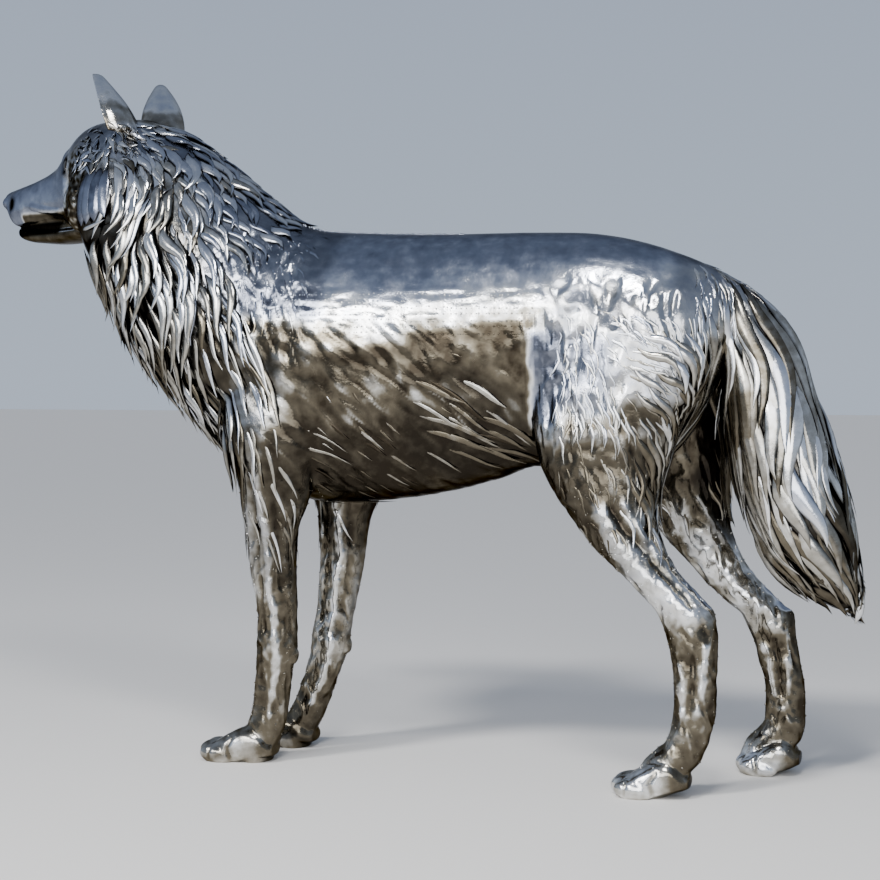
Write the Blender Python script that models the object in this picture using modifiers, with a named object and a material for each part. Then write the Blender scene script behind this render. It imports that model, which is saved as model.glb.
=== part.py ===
"""Standing wolf in welded stainless steel, two metres high at the back.

The sculpture is one welded shell, so it is one solid.  The wolf looks along -X with its
head turned a little to its right; its left side is -Y and the ground is Z = 0.  Every form
is a loft through a short table of sections.  The lofts are fused by a voxel remesh, dressed
with combed locks of fur, and cut flat where the paws stand.
"""
import math
import random

import bmesh
import bpy
from mathutils import Vector
from mathutils.bvhtree import BVHTree

NAME = "wolf"
COLLECTION = "steel_wolf"

# ---- driving dimensions, metres --------------------------------------------------------
GRAIN = 0.010                # voxel size that fuses the forms
FORM_SMOOTHING = 2           # rounds of smoothing on the bare forms
FUR_SMOOTHING = 1            # rounds of smoothing once the fur is on
TRIANGLES = 9300             # faces left in the finished solid
SHARP_ANGLE = math.radians(40.0)
MERGE = 0.0001
SOLE_DEPTH = 0.012           # how far the paws are modelled below the ground cut
RING_SIDES = 40              # points around each body section
SPAN_STEPS = 4               # rings between two neighbouring sections
TRUNK_SQUARENESS = 2.1       # 2 is an ellipse, more is boxier
PAW_SQUARENESS = 2.6

# ---- head frame: origin over the ears, turned to the wolf's right ----------------------
HEAD_ORIGIN = Vector((-1.255, 0.0, 0.0))
HEAD_TURN = math.radians(20.0)
AHEAD = Vector((-math.cos(HEAD_TURN), math.sin(HEAD_TURN), 0.0))
ASIDE = Vector((-math.sin(HEAD_TURN), -math.cos(HEAD_TURN), 0.0))

# ---- trunk and neck: top x, top z, bottom x, bottom z, half width, bias, turn ----------
# bias widens a section towards its top, turn is the share of the head's turn
TRUNK = (
    (1.200, 1.770, 1.095, 1.560, 0.060, 0.00, 0.0),
    (1.130, 1.835, 0.985, 1.330, 0.165, 0.00, 0.0),
    (1.000, 1.905, 0.850, 1.190, 0.232, 0.08, 0.0),
    (0.810, 1.975, 0.690, 1.140, 0.262, 0.12, 0.0),
    (0.620, 2.014, 0.520, 1.135, 0.266, 0.14, 0.0),
    (0.430, 2.024, 0.376, 1.150, 0.266, 0.14, 0.0),
    (0.240, 2.026, 0.239, 1.100, 0.280, 0.12, 0.0),
    (0.040, 2.026, 0.040, 1.048, 0.300, 0.10, 0.0),
    (-0.161, 2.032, -0.190, 1.012, 0.314, 0.08, 0.0),
    (-0.330, 2.040, -0.450, 1.000, 0.318, 0.08, 0.0),
    (-0.440, 2.048, -0.680, 1.050, 0.312, 0.10, 0.0),
    (-0.520, 2.064, -0.840, 1.185, 0.298, 0.10, 0.0),
    (-0.600, 2.096, -1.000, 1.335, 0.284, 0.08, 0.1),
    (-0.690, 2.168, -1.130, 1.455, 0.272, 0.06, 0.2),
    (-0.790, 2.240, -1.235, 1.575, 0.260, 0.04, 0.3),
    (-0.895, 2.322, -1.310, 1.715, 0.250, 0.02, 0.5),
    (-1.000, 2.396, -1.380, 1.840, 0.243, 0.00, 0.7),
    (-1.090, 2.448, -1.435, 1.955, 0.230, 0.00, 0.9),
    (-1.190, 2.488, -1.475, 2.045, 0.203, 0.05, 1.0),
    (-1.280, 2.503, -1.480, 2.115, 0.160, 0.08, 1.0),
)

# ---- head: distance ahead, top z, bottom z, half width, squareness ----------------------
SKULL = (
    (-0.120, 2.470, 2.150, 0.110, 2.0),
    (-0.050, 2.506, 2.080, 0.175, 2.0),
    (0.050, 2.518, 2.050, 0.205, 2.0),
    (0.160, 2.515, 2.040, 0.198, 2.0),
    (0.240, 2.506, 2.042, 0.176, 2.0),
    (0.300, 2.486, 2.050, 0.152, 2.0),
    (0.355, 2.450, 2.068, 0.130, 2.0),
    (0.405, 2.405, 2.098, 0.112, 2.2),
    (0.450, 2.368, 2.112, 0.100, 2.3),
    (0.520, 2.335, 2.118, 0.091, 2.4),
    (0.600, 2.312, 2.122, 0.085, 2.5),
    (0.670, 2.297, 2.126, 0.079, 2.5),
    (0.740, 2.284, 2.130, 0.070, 2.4),
    (0.790, 2.278, 2.143, 0.058, 2.3),
    (0.824, 2.268, 2.178, 0.042, 2.1),
    (0.842, 2.248, 2.218, 0.018, 2.0),
)
JAW = (
    (0.250, 2.110, 2.048, 0.110, 2.0),
    (0.386, 2.105, 2.039, 0.096, 2.2),
    (0.500, 2.094, 2.037, 0.080, 2.4),
    (0.590, 2.092, 2.045, 0.067, 2.4),
    (0.680, 2.096, 2.057, 0.054, 2.4),
    (0.727, 2.102, 2.076, 0.040, 2.2),
    (0.746, 2.104, 2.096, 0.018, 2.0),
)
PALATE = (                   # closes the mouth behind the lips
    (0.300, 2.140, 2.080, 0.085, 2.0),
    (0.500, 2.140, 2.075, 0.058, 2.2),
    (0.660, 2.145, 2.080, 0.036, 2.2),
    (0.702, 2.140, 2.095, 0.018, 2.0),
)
# knobs on the head: ahead, aside, z, half length, half width, half height
BROW = (0.340, 0.070, 2.374, 0.055, 0.046, 0.038)
EYE = (0.350, 0.104, 2.336, 0.030, 0.020, 0.018)
CHEEK = (0.200, 0.120, 2.190, 0.120, 0.085, 0.130)
NOSTRIL_WING = (0.806, 0.032, 2.226, 0.030, 0.022, 0.026)
LIP = (0.575, 0.050, 2.150, 0.145, 0.040, 0.034)

# ---- ears: share of the height, half width, depth of the cup ---------------------------
EAR_BASE = (-0.020, 0.118, 2.440)
EAR_TIP = (0.090, 0.180, 2.690)
EAR_FACING = math.radians(55.0)
EAR_WALL = 0.034
EAR_WRAP = 100.0             # degrees that the cup wraps to either side
EAR_HOLLOW_WRAP = 0.85       # the hollow's share of that wrap
EAR_ARC_STEPS = 5            # points along half the cup's arc
EAR = (
    (0.00, 0.098, 0.100),
    (0.30, 0.092, 0.096),
    (0.52, 0.072, 0.082),
    (0.72, 0.050, 0.060),
    (0.88, 0.028, 0.042),
    (0.97, 0.016, 0.028),
    (1.00, 0.008, 0.016),
)

# ---- legs: z, centre x, half length, centre |y|, half width -----------------------------
FORELEG = (
    (1.62, -0.56, 0.12, 0.130, 0.060),
    (1.50, -0.58, 0.19, 0.165, 0.110),
    (1.34, -0.59, 0.215, 0.187, 0.132),
    (1.20, -0.600, 0.190, 0.192, 0.128),
    (1.10, -0.600, 0.152, 0.190, 0.116),
    (1.01, -0.606, 0.134, 0.185, 0.104),
    (0.915, -0.620, 0.107, 0.180, 0.093),
    (0.787, -0.620, 0.092, 0.174, 0.084),
    (0.650, -0.609, 0.082, 0.168, 0.076),
    (0.550, -0.605, 0.076, 0.163, 0.072),
    (0.434, -0.610, 0.078, 0.158, 0.078),
    (0.384, -0.618, 0.072, 0.156, 0.074),
    (0.280, -0.632, 0.071, 0.153, 0.068),
    (0.200, -0.643, 0.069, 0.151, 0.070),
    (0.130, -0.652, 0.080, 0.150, 0.078),
    (0.040, -0.664, 0.086, 0.150, 0.084),
    (-0.012, -0.668, 0.082, 0.150, 0.080),
)
# the right foreleg slants: shift in x at a height, added to the left one's centre line
RIGHT_FORE_SHIFT = (
    (1.62, 0.06), (1.20, 0.135), (1.01, 0.155), (0.78, 0.154), (0.62, 0.124), (0.47, 0.102),
    (0.37, 0.096), (0.23, 0.066), (0.10, 0.040), (-0.02, 0.034),
)
HINDLEG = (
    (1.86, 0.86, 0.12, 0.120, 0.050),
    (1.76, 0.80, 0.24, 0.150, 0.100),
    (1.60, 0.75, 0.315, 0.165, 0.125),
    (1.475, 0.73, 0.315, 0.170, 0.132),
    (1.335, 0.694, 0.274, 0.178, 0.130),
    (1.175, 0.676, 0.229, 0.190, 0.120),
    (1.043, 0.700, 0.178, 0.205, 0.106),
    (0.945, 0.745, 0.146, 0.216, 0.096),
    (0.857, 0.800, 0.125, 0.226, 0.086),
    (0.781, 0.872, 0.107, 0.234, 0.077),
    (0.709, 0.944, 0.105, 0.240, 0.070),
    (0.661, 0.990, 0.104, 0.244, 0.068),
    (0.599, 1.014, 0.096, 0.247, 0.067),
    (0.493, 1.029, 0.081, 0.250, 0.064),
    (0.414, 1.032, 0.077, 0.252, 0.062),
    (0.300, 1.031, 0.074, 0.254, 0.062),
    (0.200, 1.014, 0.078, 0.255, 0.068),
    (0.120, 0.985, 0.085, 0.255, 0.078),
    (0.040, 0.960, 0.088, 0.255, 0.084),
    (-0.012, 0.955, 0.084, 0.255, 0.080),
)
RIGHT_HIND_SHIFT = (
    (1.86, 0.00), (1.60, 0.020), (1.475, 0.060), (1.335, 0.110), (1.175, 0.165),
    (1.043, 0.190), (0.90, 0.178), (0.835, 0.170), (0.746, 0.150), (0.658, 0.150),
    (0.60, 0.196), (0.55, 0.205), (0.46, 0.220), (0.35, 0.243), (0.235, 0.262),
    (0.16, 0.284), (0.05, 0.288), (-0.02, 0.288),
)
# knobs on the left legs: x, |y|, z, half length, half width, half height
CARPAL_PAD = (-0.534, 0.158, 0.415, 0.022, 0.030, 0.040)
HEEL = (1.066, 0.246, 0.648, 0.036, 0.040, 0.050)

# ---- paws: share of the length behind the toe tips, height, half width ------------------
PAW = (
    (0.08, 0.046, 0.050),
    (0.20, 0.072, 0.086),
    (0.37, 0.100, 0.098),
    (0.55, 0.128, 0.098),
    (0.75, 0.138, 0.092),
    (0.92, 0.100, 0.078),
    (1.00, 0.050, 0.046),
)
TOE_LEAN = 0.012             # how far a toe dips over its half length
TOES = (                     # aside, behind the toe tips, half length, half width, height
    (-0.076, 0.092, 0.072, 0.034, 0.082),
    (-0.028, 0.074, 0.074, 0.035, 0.090),
    (0.028, 0.074, 0.074, 0.035, 0.090),
    (0.076, 0.092, 0.072, 0.034, 0.082),
)
# toe tip x, centre y, length
PAWS = ((-0.922, -0.160, 0.345), (-0.878, 0.150, 0.345), (0.738, -0.262, 0.310), (1.100, 0.246, 0.262))

# ---- tail: z, inner x, outer x, half width -----------------------------------------------
TAIL = (
    (1.820, 1.080, 1.165, 0.050),
    (1.760, 1.060, 1.235, 0.095),
    (1.680, 1.050, 1.304, 0.115),
    (1.575, 1.062, 1.358, 0.128),
    (1.420, 1.085, 1.400, 0.138),
    (1.297, 1.105, 1.446, 0.142),
    (1.154, 1.135, 1.494, 0.142),
    (1.040, 1.170, 1.522, 0.136),
    (0.930, 1.204, 1.545, 0.124),
    (0.830, 1.250, 1.556, 0.104),
    (0.760, 1.310, 1.562, 0.080),
    (0.700, 1.410, 1.562, 0.050),
    (0.660, 1.490, 1.558, 0.022),
)

# ---- the comb: x, z, heading in degrees from straight down, towards the tail -------------
COMB = (
    (-1.45, 2.36, 70), (-1.33, 2.27, 47), (-1.26, 2.21, 18), (-1.34, 2.14, -19),
    (-1.15, 2.16, -16), (-1.06, 2.37, 34), (-0.88, 2.20, 0), (-0.76, 2.24, 18),
    (-0.63, 2.08, 47), (-1.25, 2.00, -27), (-1.32, 1.83, -7), (-1.10, 1.90, 15),
    (-0.99, 1.95, 36), (-0.88, 1.97, 6), (-0.78, 1.74, 21), (-0.96, 1.59, 8),
    (-0.72, 1.45, 31), (-1.22, 1.51, 24), (-0.97, 1.28, 44), (-0.62, 1.18, 5),
    (-0.37, 1.25, 54), (-0.25, 1.47, 39), (0.17, 1.38, 61), (0.36, 1.33, 57),
    (0.49, 1.47, 0), (0.70, 1.40, 3), (0.77, 1.09, 25), (0.89, 1.49, 46), (0.96, 1.36, 10),
    (1.13, 1.72, 4), (1.13, 1.40, -5), (1.27, 1.40, 3), (1.41, 1.33, 20), (1.25, 0.91, 21),
    (1.41, 0.84, 30), (1.54, 0.84, 12),
)
COMB_BLEND = 0.004           # square metres: softens the change from tooth to tooth
LOCK_STEPS = 7
# zone: low x, high x, low z, high z, half breadth, spacing, length, width, height, free share, seed
LOCK_ZONES = {
    "ruff": (-1.48, -1.00, 1.98, 2.38, 0.40, 0.085, 0.25, 0.058, 0.026, 0.15, 3),
    "mane": (-1.48, -0.72, 1.42, 2.02, 0.40, 0.096, 0.32, 0.064, 0.030, 0.15, 5),
    "withers": (-0.98, -0.66, 1.98, 2.24, 0.40, 0.090, 0.20, 0.052, 0.016, 0.00, 7),
    "brisket": (-1.24, -0.72, 1.20, 1.46, 0.40, 0.100, 0.34, 0.062, 0.026, 0.15, 11),
    "shoulder": (-0.84, -0.56, 1.14, 1.62, 0.40, 0.110, 0.32, 0.056, 0.022, 0.00, 13),
    "flank": (0.02, 0.34, 1.28, 1.48, 0.40, 0.085, 0.24, 0.040, 0.016, 0.00, 17),
    "elbow": (-0.44, -0.16, 1.14, 1.40, 0.40, 0.095, 0.22, 0.040, 0.015, 0.00, 19),
    "thigh": (0.80, 1.02, 1.20, 1.56, 0.40, 0.080, 0.20, 0.044, 0.020, 0.15, 23),
    "tail": (1.08, 1.56, 0.90, 1.66, 0.17, 0.090, 0.38, 0.058, 0.022, 0.00, 29),
    "tail_ends": (1.20, 1.56, 0.68, 0.90, 0.14, 0.066, 0.17, 0.050, 0.022, 0.55, 31),
}
LOCK_LIFT = 0.020            # how far a lock's tip stands off the form


# ---- helpers -----------------------------------------------------------------------------
def clear_scene():
    """Remove the objects that a new file holds."""
    for item in list(bpy.data.objects):
        bpy.data.objects.remove(item, do_unlink=True)


def between(rows, position):
    """Read a table at a position along its first column, on a smooth curve."""
    rising = rows[-1][0] > rows[0][0]
    rows = rows if rising else rows[::-1]
    position = min(max(position, rows[0][0]), rows[-1][0])
    last = len(rows) - 2
    index = next((i for i in range(last + 1) if position <= rows[i + 1][0]), last)
    low, high = rows[index], rows[index + 1]
    before, after = rows[max(index - 1, 0)], rows[min(index + 2, len(rows) - 1)]
    span = high[0] - low[0]
    share = (position - low[0]) / span
    values = []
    for column in range(1, len(low)):
        leave = (high[column] - before[column]) / max(high[0] - before[0], 1e-9) * span
        reach = (after[column] - low[column]) / max(after[0] - low[0], 1e-9) * span
        square, cube = share * share, share ** 3
        values.append((2 * cube - 3 * square + 1) * low[column] + (cube - 2 * square + share) * leave
                      + (3 * square - 2 * cube) * high[column] + (cube - square) * reach)
    return values


def positions(rows, steps=SPAN_STEPS):
    """Positions along a table's first column, with steps between its rows."""
    marks = [row[0] for row in rows]
    spread = []
    for low, high in zip(marks, marks[1:]):
        spread += [low + (high - low) * step / steps for step in range(steps)]
    return spread + [marks[-1]]


def rounded(angle, power):
    """Cosine and sine of an angle on a superellipse of the given power."""
    cosine, sine = math.cos(angle), math.sin(angle)
    return (math.copysign(abs(cosine) ** (2.0 / power), cosine),
            math.copysign(abs(sine) ** (2.0 / power), sine))


def new_object(name, bm):
    """Turn a bmesh into an object of the sculpture's collection."""
    bmesh.ops.recalc_face_normals(bm, faces=bm.faces[:])
    mesh = bpy.data.meshes.new(name)
    bm.to_mesh(mesh)
    bm.free()
    item = bpy.data.objects.new(name, mesh)
    bpy.data.collections[COLLECTION].objects.link(item)
    return item


def loft(name, rings):
    """Skin a row of closed rings and cap both ends."""
    bm = bmesh.new()
    loops = [[bm.verts.new(point) for point in ring] for ring in rings]
    for first, second in zip(loops, loops[1:]):
        for index in range(len(first)):
            after = (index + 1) % len(first)
            bm.faces.new((first[index], first[after], second[after], second[index]))
    bm.faces.new(loops[0][::-1])
    bm.faces.new(loops[-1])
    return new_object(name, bm)


def knob(name, centre, axes):
    """Make an ellipsoid on three half-axis vectors."""
    bm = bmesh.new()
    bmesh.ops.create_uvsphere(bm, u_segments=20, v_segments=12, radius=1.0)
    for vert in bm.verts:
        place = vert.co.copy()
        vert.co = centre + axes[0] * place.x + axes[1] * place.y + axes[2] * place.z
    return new_object(name, bm)


def head_point(ahead, aside, height):
    """A point given in the head's own frame."""
    return HEAD_ORIGIN + AHEAD * ahead + ASIDE * aside + Vector((0.0, 0.0, height))


# ---- forms -------------------------------------------------------------------------------
def make_trunk():
    """Rump, back, chest and neck in one loft, each section square to the spine."""
    rows = [(index,) + row for index, row in enumerate(TRUNK)]
    rings = []
    for mark in positions(rows):
        top_x, top_z, bottom_x, bottom_z, half_width, bias, turn = between(rows, mark)
        top = Vector((top_x, 0.0, top_z))
        bottom = Vector((bottom_x, 0.0, bottom_z))
        swing = HEAD_TURN * turn
        across = Vector((math.sin(swing), math.cos(swing), 0.0))
        ring = []
        for side in range(RING_SIDES):
            angle = 2.0 * math.pi * side / RING_SIDES
            rise, reach = rounded(angle, TRUNK_SQUARENESS)
            place = (top + bottom) / 2.0 + (top - bottom) / 2.0 * rise
            ring.append(place + across * half_width * reach * (1.0 + bias * rise))
        rings.append(ring)
    return loft("trunk", rings)


def make_head_form(name, rows):
    """One loft of the head, with sections square to its own axis."""
    rings = []
    for mark in positions(rows):
        top, bottom, half_width, power = between(rows, mark)
        middle, half_height = (top + bottom) / 2.0, (top - bottom) / 2.0
        ring = []
        for side in range(RING_SIDES):
            rise, reach = rounded(2.0 * math.pi * side / RING_SIDES, power)
            ring.append(head_point(mark, half_width * reach, middle + half_height * rise))
        rings.append(ring)
    return loft(name, rings)


def make_head_knob(name, sizes, hand):
    """A swelling on one side of the head."""
    ahead, aside, height, length, width, tall = sizes
    axes = (AHEAD * length, ASIDE * width, Vector((0.0, 0.0, tall)))
    return knob(name, head_point(ahead, aside * hand, height), axes)


def make_ear(hand):
    """A cupped ear, open to the front and outwards."""
    base = head_point(EAR_BASE[0], EAR_BASE[1] * hand, EAR_BASE[2])
    tip = head_point(EAR_TIP[0], EAR_TIP[1] * hand, EAR_TIP[2])
    facing = AHEAD * math.cos(EAR_FACING) + ASIDE * math.sin(EAR_FACING) * hand
    across = (tip - base).cross(facing).normalized()
    stops = range(-EAR_ARC_STEPS, EAR_ARC_STEPS + 1)
    arc = [math.radians(EAR_WRAP * stop / EAR_ARC_STEPS) for stop in stops]
    rings = []
    for mark in positions(EAR, 3):
        half_width, depth = between(EAR, mark)
        middle = base.lerp(tip, mark)
        wall = min(EAR_WALL, 0.7 * min(half_width, depth))
        outer = [middle + across * half_width * math.sin(a) - facing * depth * math.cos(a) for a in arc]
        inner = [middle + across * (half_width - wall) * math.sin(a * EAR_HOLLOW_WRAP)
                 - facing * (depth - wall) * math.cos(a * EAR_HOLLOW_WRAP) for a in arc]
        rings.append(outer + inner[::-1])
    return loft("ear", rings)


def make_leg(name, rows, hand, shift=None):
    """A leg lofted from level sections; shift moves the centre line along x."""
    rings = []
    for height in positions(rows):
        centre_x, length, centre_y, width = between(rows, height)
        if shift:
            centre_x += between(shift, height)[0]
        ring = []
        for side in range(RING_SIDES):
            angle = 2.0 * math.pi * side / RING_SIDES
            ring.append((centre_x + length * math.cos(angle),
                         hand * centre_y + width * math.sin(angle), height))
        rings.append(ring)
    return loft(name, rings)


def make_leg_knob(name, sizes, hand, shift_x=0.0):
    """The pad behind a wrist or the point of a hock."""
    x, y, z, length, width, tall = sizes
    axes = (Vector((length, 0, 0)), Vector((0, width, 0)), Vector((0, 0, tall)))
    return knob(name, Vector((x + shift_x, y * hand, z)), axes)


def make_paw(toe_x, centre_y, paw_length):
    """A paw: a low loft for the foot and four toes side by side."""
    pieces = []
    rings = []
    for behind in positions(PAW):
        height, half_width = between(PAW, behind)
        ring = []
        for side in range(RING_SIDES):
            rise, reach = rounded(2.0 * math.pi * side / RING_SIDES, PAW_SQUARENESS)
            level = -SOLE_DEPTH + (height + SOLE_DEPTH) * (1.0 + rise) / 2.0
            ring.append((toe_x + behind * paw_length, centre_y + half_width * reach, level))
        rings.append(ring)
    pieces.append(loft("paw", rings))
    for aside, behind, length, width, height in TOES:
        centre = Vector((toe_x + behind, centre_y + aside, height * 0.42))
        axes = (Vector((length, 0, -TOE_LEAN)), Vector((0, width, 0)), Vector((TOE_LEAN, 0, height * 0.58)))
        pieces.append(knob("toe", centre, axes))
    return pieces


def make_tail():
    """The hanging brush of the tail."""
    rings = []
    for height in positions(TAIL):
        inner, outer, half_width = between(TAIL, height)
        ring = []
        for side in range(RING_SIDES):
            angle = 2.0 * math.pi * side / RING_SIDES
            ring.append(((inner + outer) / 2.0 + (outer - inner) / 2.0 * math.cos(angle),
                         half_width * math.sin(angle), height))
        rings.append(ring)
    return loft("tail", rings)


def make_forms():
    """All smooth forms of the wolf, as overlapping closed lofts."""
    forms = [make_trunk(), make_tail()]
    forms += [make_head_form(*pair) for pair in (("skull", SKULL), ("jaw", JAW), ("palate", PALATE))]
    for hand in (1, -1):
        forms.append(make_ear(hand))
        for name, sizes in (("brow", BROW), ("eye", EYE), ("cheek", CHEEK),
                            ("nostril_wing", NOSTRIL_WING), ("lip", LIP)):
            forms.append(make_head_knob(name, sizes, hand))
    forms += [make_leg("left_foreleg", FORELEG, -1), make_leg("left_hindleg", HINDLEG, -1)]
    forms += [make_leg("right_foreleg", FORELEG, 1, RIGHT_FORE_SHIFT),
              make_leg("right_hindleg", HINDLEG, 1, RIGHT_HIND_SHIFT)]
    for sizes, shift in ((CARPAL_PAD, RIGHT_FORE_SHIFT), (HEEL, RIGHT_HIND_SHIFT)):
        forms.append(make_leg_knob("left_knob", sizes, -1))
        forms.append(make_leg_knob("right_knob", sizes, 1, between(shift, sizes[2])[0]))
    for paw in PAWS:
        forms += make_paw(*paw)
    return forms


# ---- fur -----------------------------------------------------------------------------------
def heading_at(place):
    """Direction of the fur at a point, blended from the comb's teeth."""
    total = Vector((0.0, 0.0, 0.0))
    for x, z, degrees in COMB:
        weight = 1.0 / ((place.x - x) ** 2 + (place.z - z) ** 2 + COMB_BLEND) ** 2
        angle = math.radians(degrees)
        total += Vector((math.sin(angle), 0.0, -math.cos(angle))) * weight
    return total.normalized()


def lock_path(surface, root, length, free):
    """Follow the comb over the surface, with a free end; returns places with normals."""
    place, path = root, []
    for step in range(LOCK_STEPS + 1):
        near, normal, _, _ = surface.find_nearest(place)
        course = heading_at(near)
        if step > (1.0 - free) * LOCK_STEPS:
            near, normal = place, path[-1][1]
        else:
            course = (course - normal * course.dot(normal)).normalized()
        path.append((near, normal))
        place = near + course * (length / LOCK_STEPS)
    return path


def add_lock(bm, path, width, height):
    """A spindle-shaped lock on its path: ridge, two edges and a keel in the form."""
    rings = []
    for step, (place, normal) in enumerate(path[1:-1], start=1):
        share = step / (len(path) - 1)
        ahead = (path[step + 1][0] - path[step - 1][0]).normalized()
        across = normal.cross(ahead).normalized()
        swell = math.sin(math.pi * share ** 0.8) ** 0.7
        middle = place + normal * LOCK_LIFT * share ** 2
        rings.append([bm.verts.new(middle + normal * height * swell),
                      bm.verts.new(middle + across * width / 2.0 * swell),
                      bm.verts.new(middle - normal * (height + LOCK_LIFT) * swell),
                      bm.verts.new(middle - across * width / 2.0 * swell)])
    root = bm.verts.new(path[0][0] - path[0][1] * height / 2.0)
    tip = bm.verts.new(path[-1][0] + path[-1][1] * LOCK_LIFT)
    for first, second in zip(rings, rings[1:]):
        for index in range(4):
            after = (index + 1) % 4
            bm.faces.new((first[index], first[after], second[after], second[index]))
    for index in range(4):
        after = (index + 1) % 4
        bm.faces.new((root, rings[0][after], rings[0][index]))
        bm.faces.new((tip, rings[-1][index], rings[-1][after]))


def scatter(mesh, zone):
    """Evenly spaced roots on the mesh's vertices inside a zone."""
    low_x, high_x, low_z, high_z, breadth, spacing = zone[:6]
    inside = [vert.co.copy() for vert in mesh.vertices
              if low_x < vert.co.x < high_x and low_z < vert.co.z < high_z and abs(vert.co.y) < breadth]
    random.Random(zone[-1]).shuffle(inside)
    roots = []
    for place in inside:
        if all((place - other).length > spacing for other in roots):
            roots.append(place)
    return roots


def make_locks(body):
    """Comb locks over every zone of the fused body."""
    surface = BVHTree.FromPolygons([vert.co for vert in body.data.vertices],
                                   [face.vertices[:] for face in body.data.polygons])
    bm = bmesh.new()
    for zone in LOCK_ZONES.values():
        length, width, height, free = zone[6:10]
        for root in scatter(body.data, zone):
            add_lock(bm, lock_path(surface, root, length, free), width, height)
    return new_object("locks", bm)


# ---- fusing ----------------------------------------------------------------------------------
def join(items, name):
    """Join objects into the first one."""
    bpy.ops.object.select_all(action="DESELECT")
    for item in items:
        item.select_set(True)
    bpy.context.view_layer.objects.active = items[0]
    bpy.ops.object.join()
    items[0].name = name
    return items[0]


def bake(item):
    """Replace an object's mesh by what its modifiers make of it."""
    bpy.context.view_layer.update()
    evaluated = item.evaluated_get(bpy.context.evaluated_depsgraph_get())
    mesh = bpy.data.meshes.new_from_object(evaluated)
    item.modifiers.clear()
    old = item.data
    item.data = mesh
    bpy.data.meshes.remove(old)


def fuse(item, smoothing):
    """Weld overlapping forms into one skin and soften it."""
    remesh = item.modifiers.new("weld", "REMESH")
    remesh.mode = "VOXEL"
    remesh.voxel_size = GRAIN
    soften = item.modifiers.new("soften", "SMOOTH")
    soften.factor = 0.5
    soften.iterations = smoothing
    bake(item)


def keep_largest(item):
    """Delete stray islands that the weld leaves inside the skin."""
    bm = bmesh.new()
    bm.from_mesh(item.data)
    seen, islands = set(), []
    for start in bm.verts:
        if start in seen:
            continue
        island, queue = [], [start]
        seen.add(start)
        while queue:
            vert = queue.pop()
            island.append(vert)
            for edge in vert.link_edges:
                other = edge.other_vert(vert)
                if other not in seen:
                    seen.add(other)
                    queue.append(other)
        islands.append(island)
    islands.sort(key=len)
    for island in islands[:-1]:
        bmesh.ops.delete(bm, geom=island, context="VERTS")
    bm.to_mesh(item.data)
    bm.free()


def reduce(item, triangles):
    """Bring the skin down to a number of flat facets."""
    count = sum(len(face.vertices) - 2 for face in item.data.polygons)
    thin = item.modifiers.new("thin", "DECIMATE")
    thin.ratio = triangles / count
    thin.use_collapse_triangulate = True
    bake(item)


def cut_soles(item):
    """Cut everything below the ground away, so that the soles are flat."""
    bm = bmesh.new()
    bm.from_mesh(item.data)
    bmesh.ops.bisect_plane(bm, geom=bm.verts[:] + bm.edges[:] + bm.faces[:], dist=MERGE,
                           plane_co=(0, 0, 0), plane_no=(0, 0, -1), clear_outer=True)
    rim = [edge for edge in bm.edges if edge.is_boundary]
    bmesh.ops.holes_fill(bm, edges=rim)
    bmesh.ops.triangulate(bm, faces=bm.faces[:])
    bm.to_mesh(item.data)
    bm.free()


def centre(item):
    """Put the origin under the middle of the object's box."""
    places = [vert.co for vert in item.data.vertices]
    middle = Vector(((min(p.x for p in places) + max(p.x for p in places)) / 2.0,
                     (min(p.y for p in places) + max(p.y for p in places)) / 2.0, 0.0))
    for vert in item.data.vertices:
        vert.co -= middle
    item.data.update()


def steel():
    """Polished stainless steel."""
    material = bpy.data.materials.new("polished_stainless")
    material.use_nodes = True
    shader = material.node_tree.nodes["Principled BSDF"]
    shader.inputs["Base Color"].default_value = (0.62, 0.61, 0.60, 1.0)
    shader.inputs["Metallic"].default_value = 1.0
    shader.inputs["Roughness"].default_value = 0.22
    return material


def main():
    """Build the wolf."""
    clear_scene()
    bpy.context.scene.collection.children.link(bpy.data.collections.new(COLLECTION))
    body = join(make_forms(), NAME)
    fuse(body, FORM_SMOOTHING)
    keep_largest(body)
    wolf = join([body, make_locks(body)], NAME)
    fuse(wolf, FUR_SMOOTHING)
    keep_largest(wolf)
    reduce(wolf, TRIANGLES)
    cut_soles(wolf)
    centre(wolf)
    wolf.data.materials.clear()
    wolf.data.materials.append(steel())
    wolf.data.shade_smooth()
    wolf.data.set_sharp_from_angle(angle=SHARP_ANGLE)


main()
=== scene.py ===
"""Looks of the standing wolf in welded, polished stainless steel.

The wolf looks along -X with its head turned a little to its right; its left side is -Y.  The
anatomy is given in the frame it was drawn in and set back by CENTRE into the part's frame.
"""
from __future__ import annotations

import logging
import math
import random
from dataclasses import dataclass, field
from enum import Enum
from typing import Callable, Sequence

import bmesh
import bpy
import numpy as np
from mathutils import Matrix, Vector, kdtree, noise
from mathutils.bvhtree import BVHTree

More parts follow.
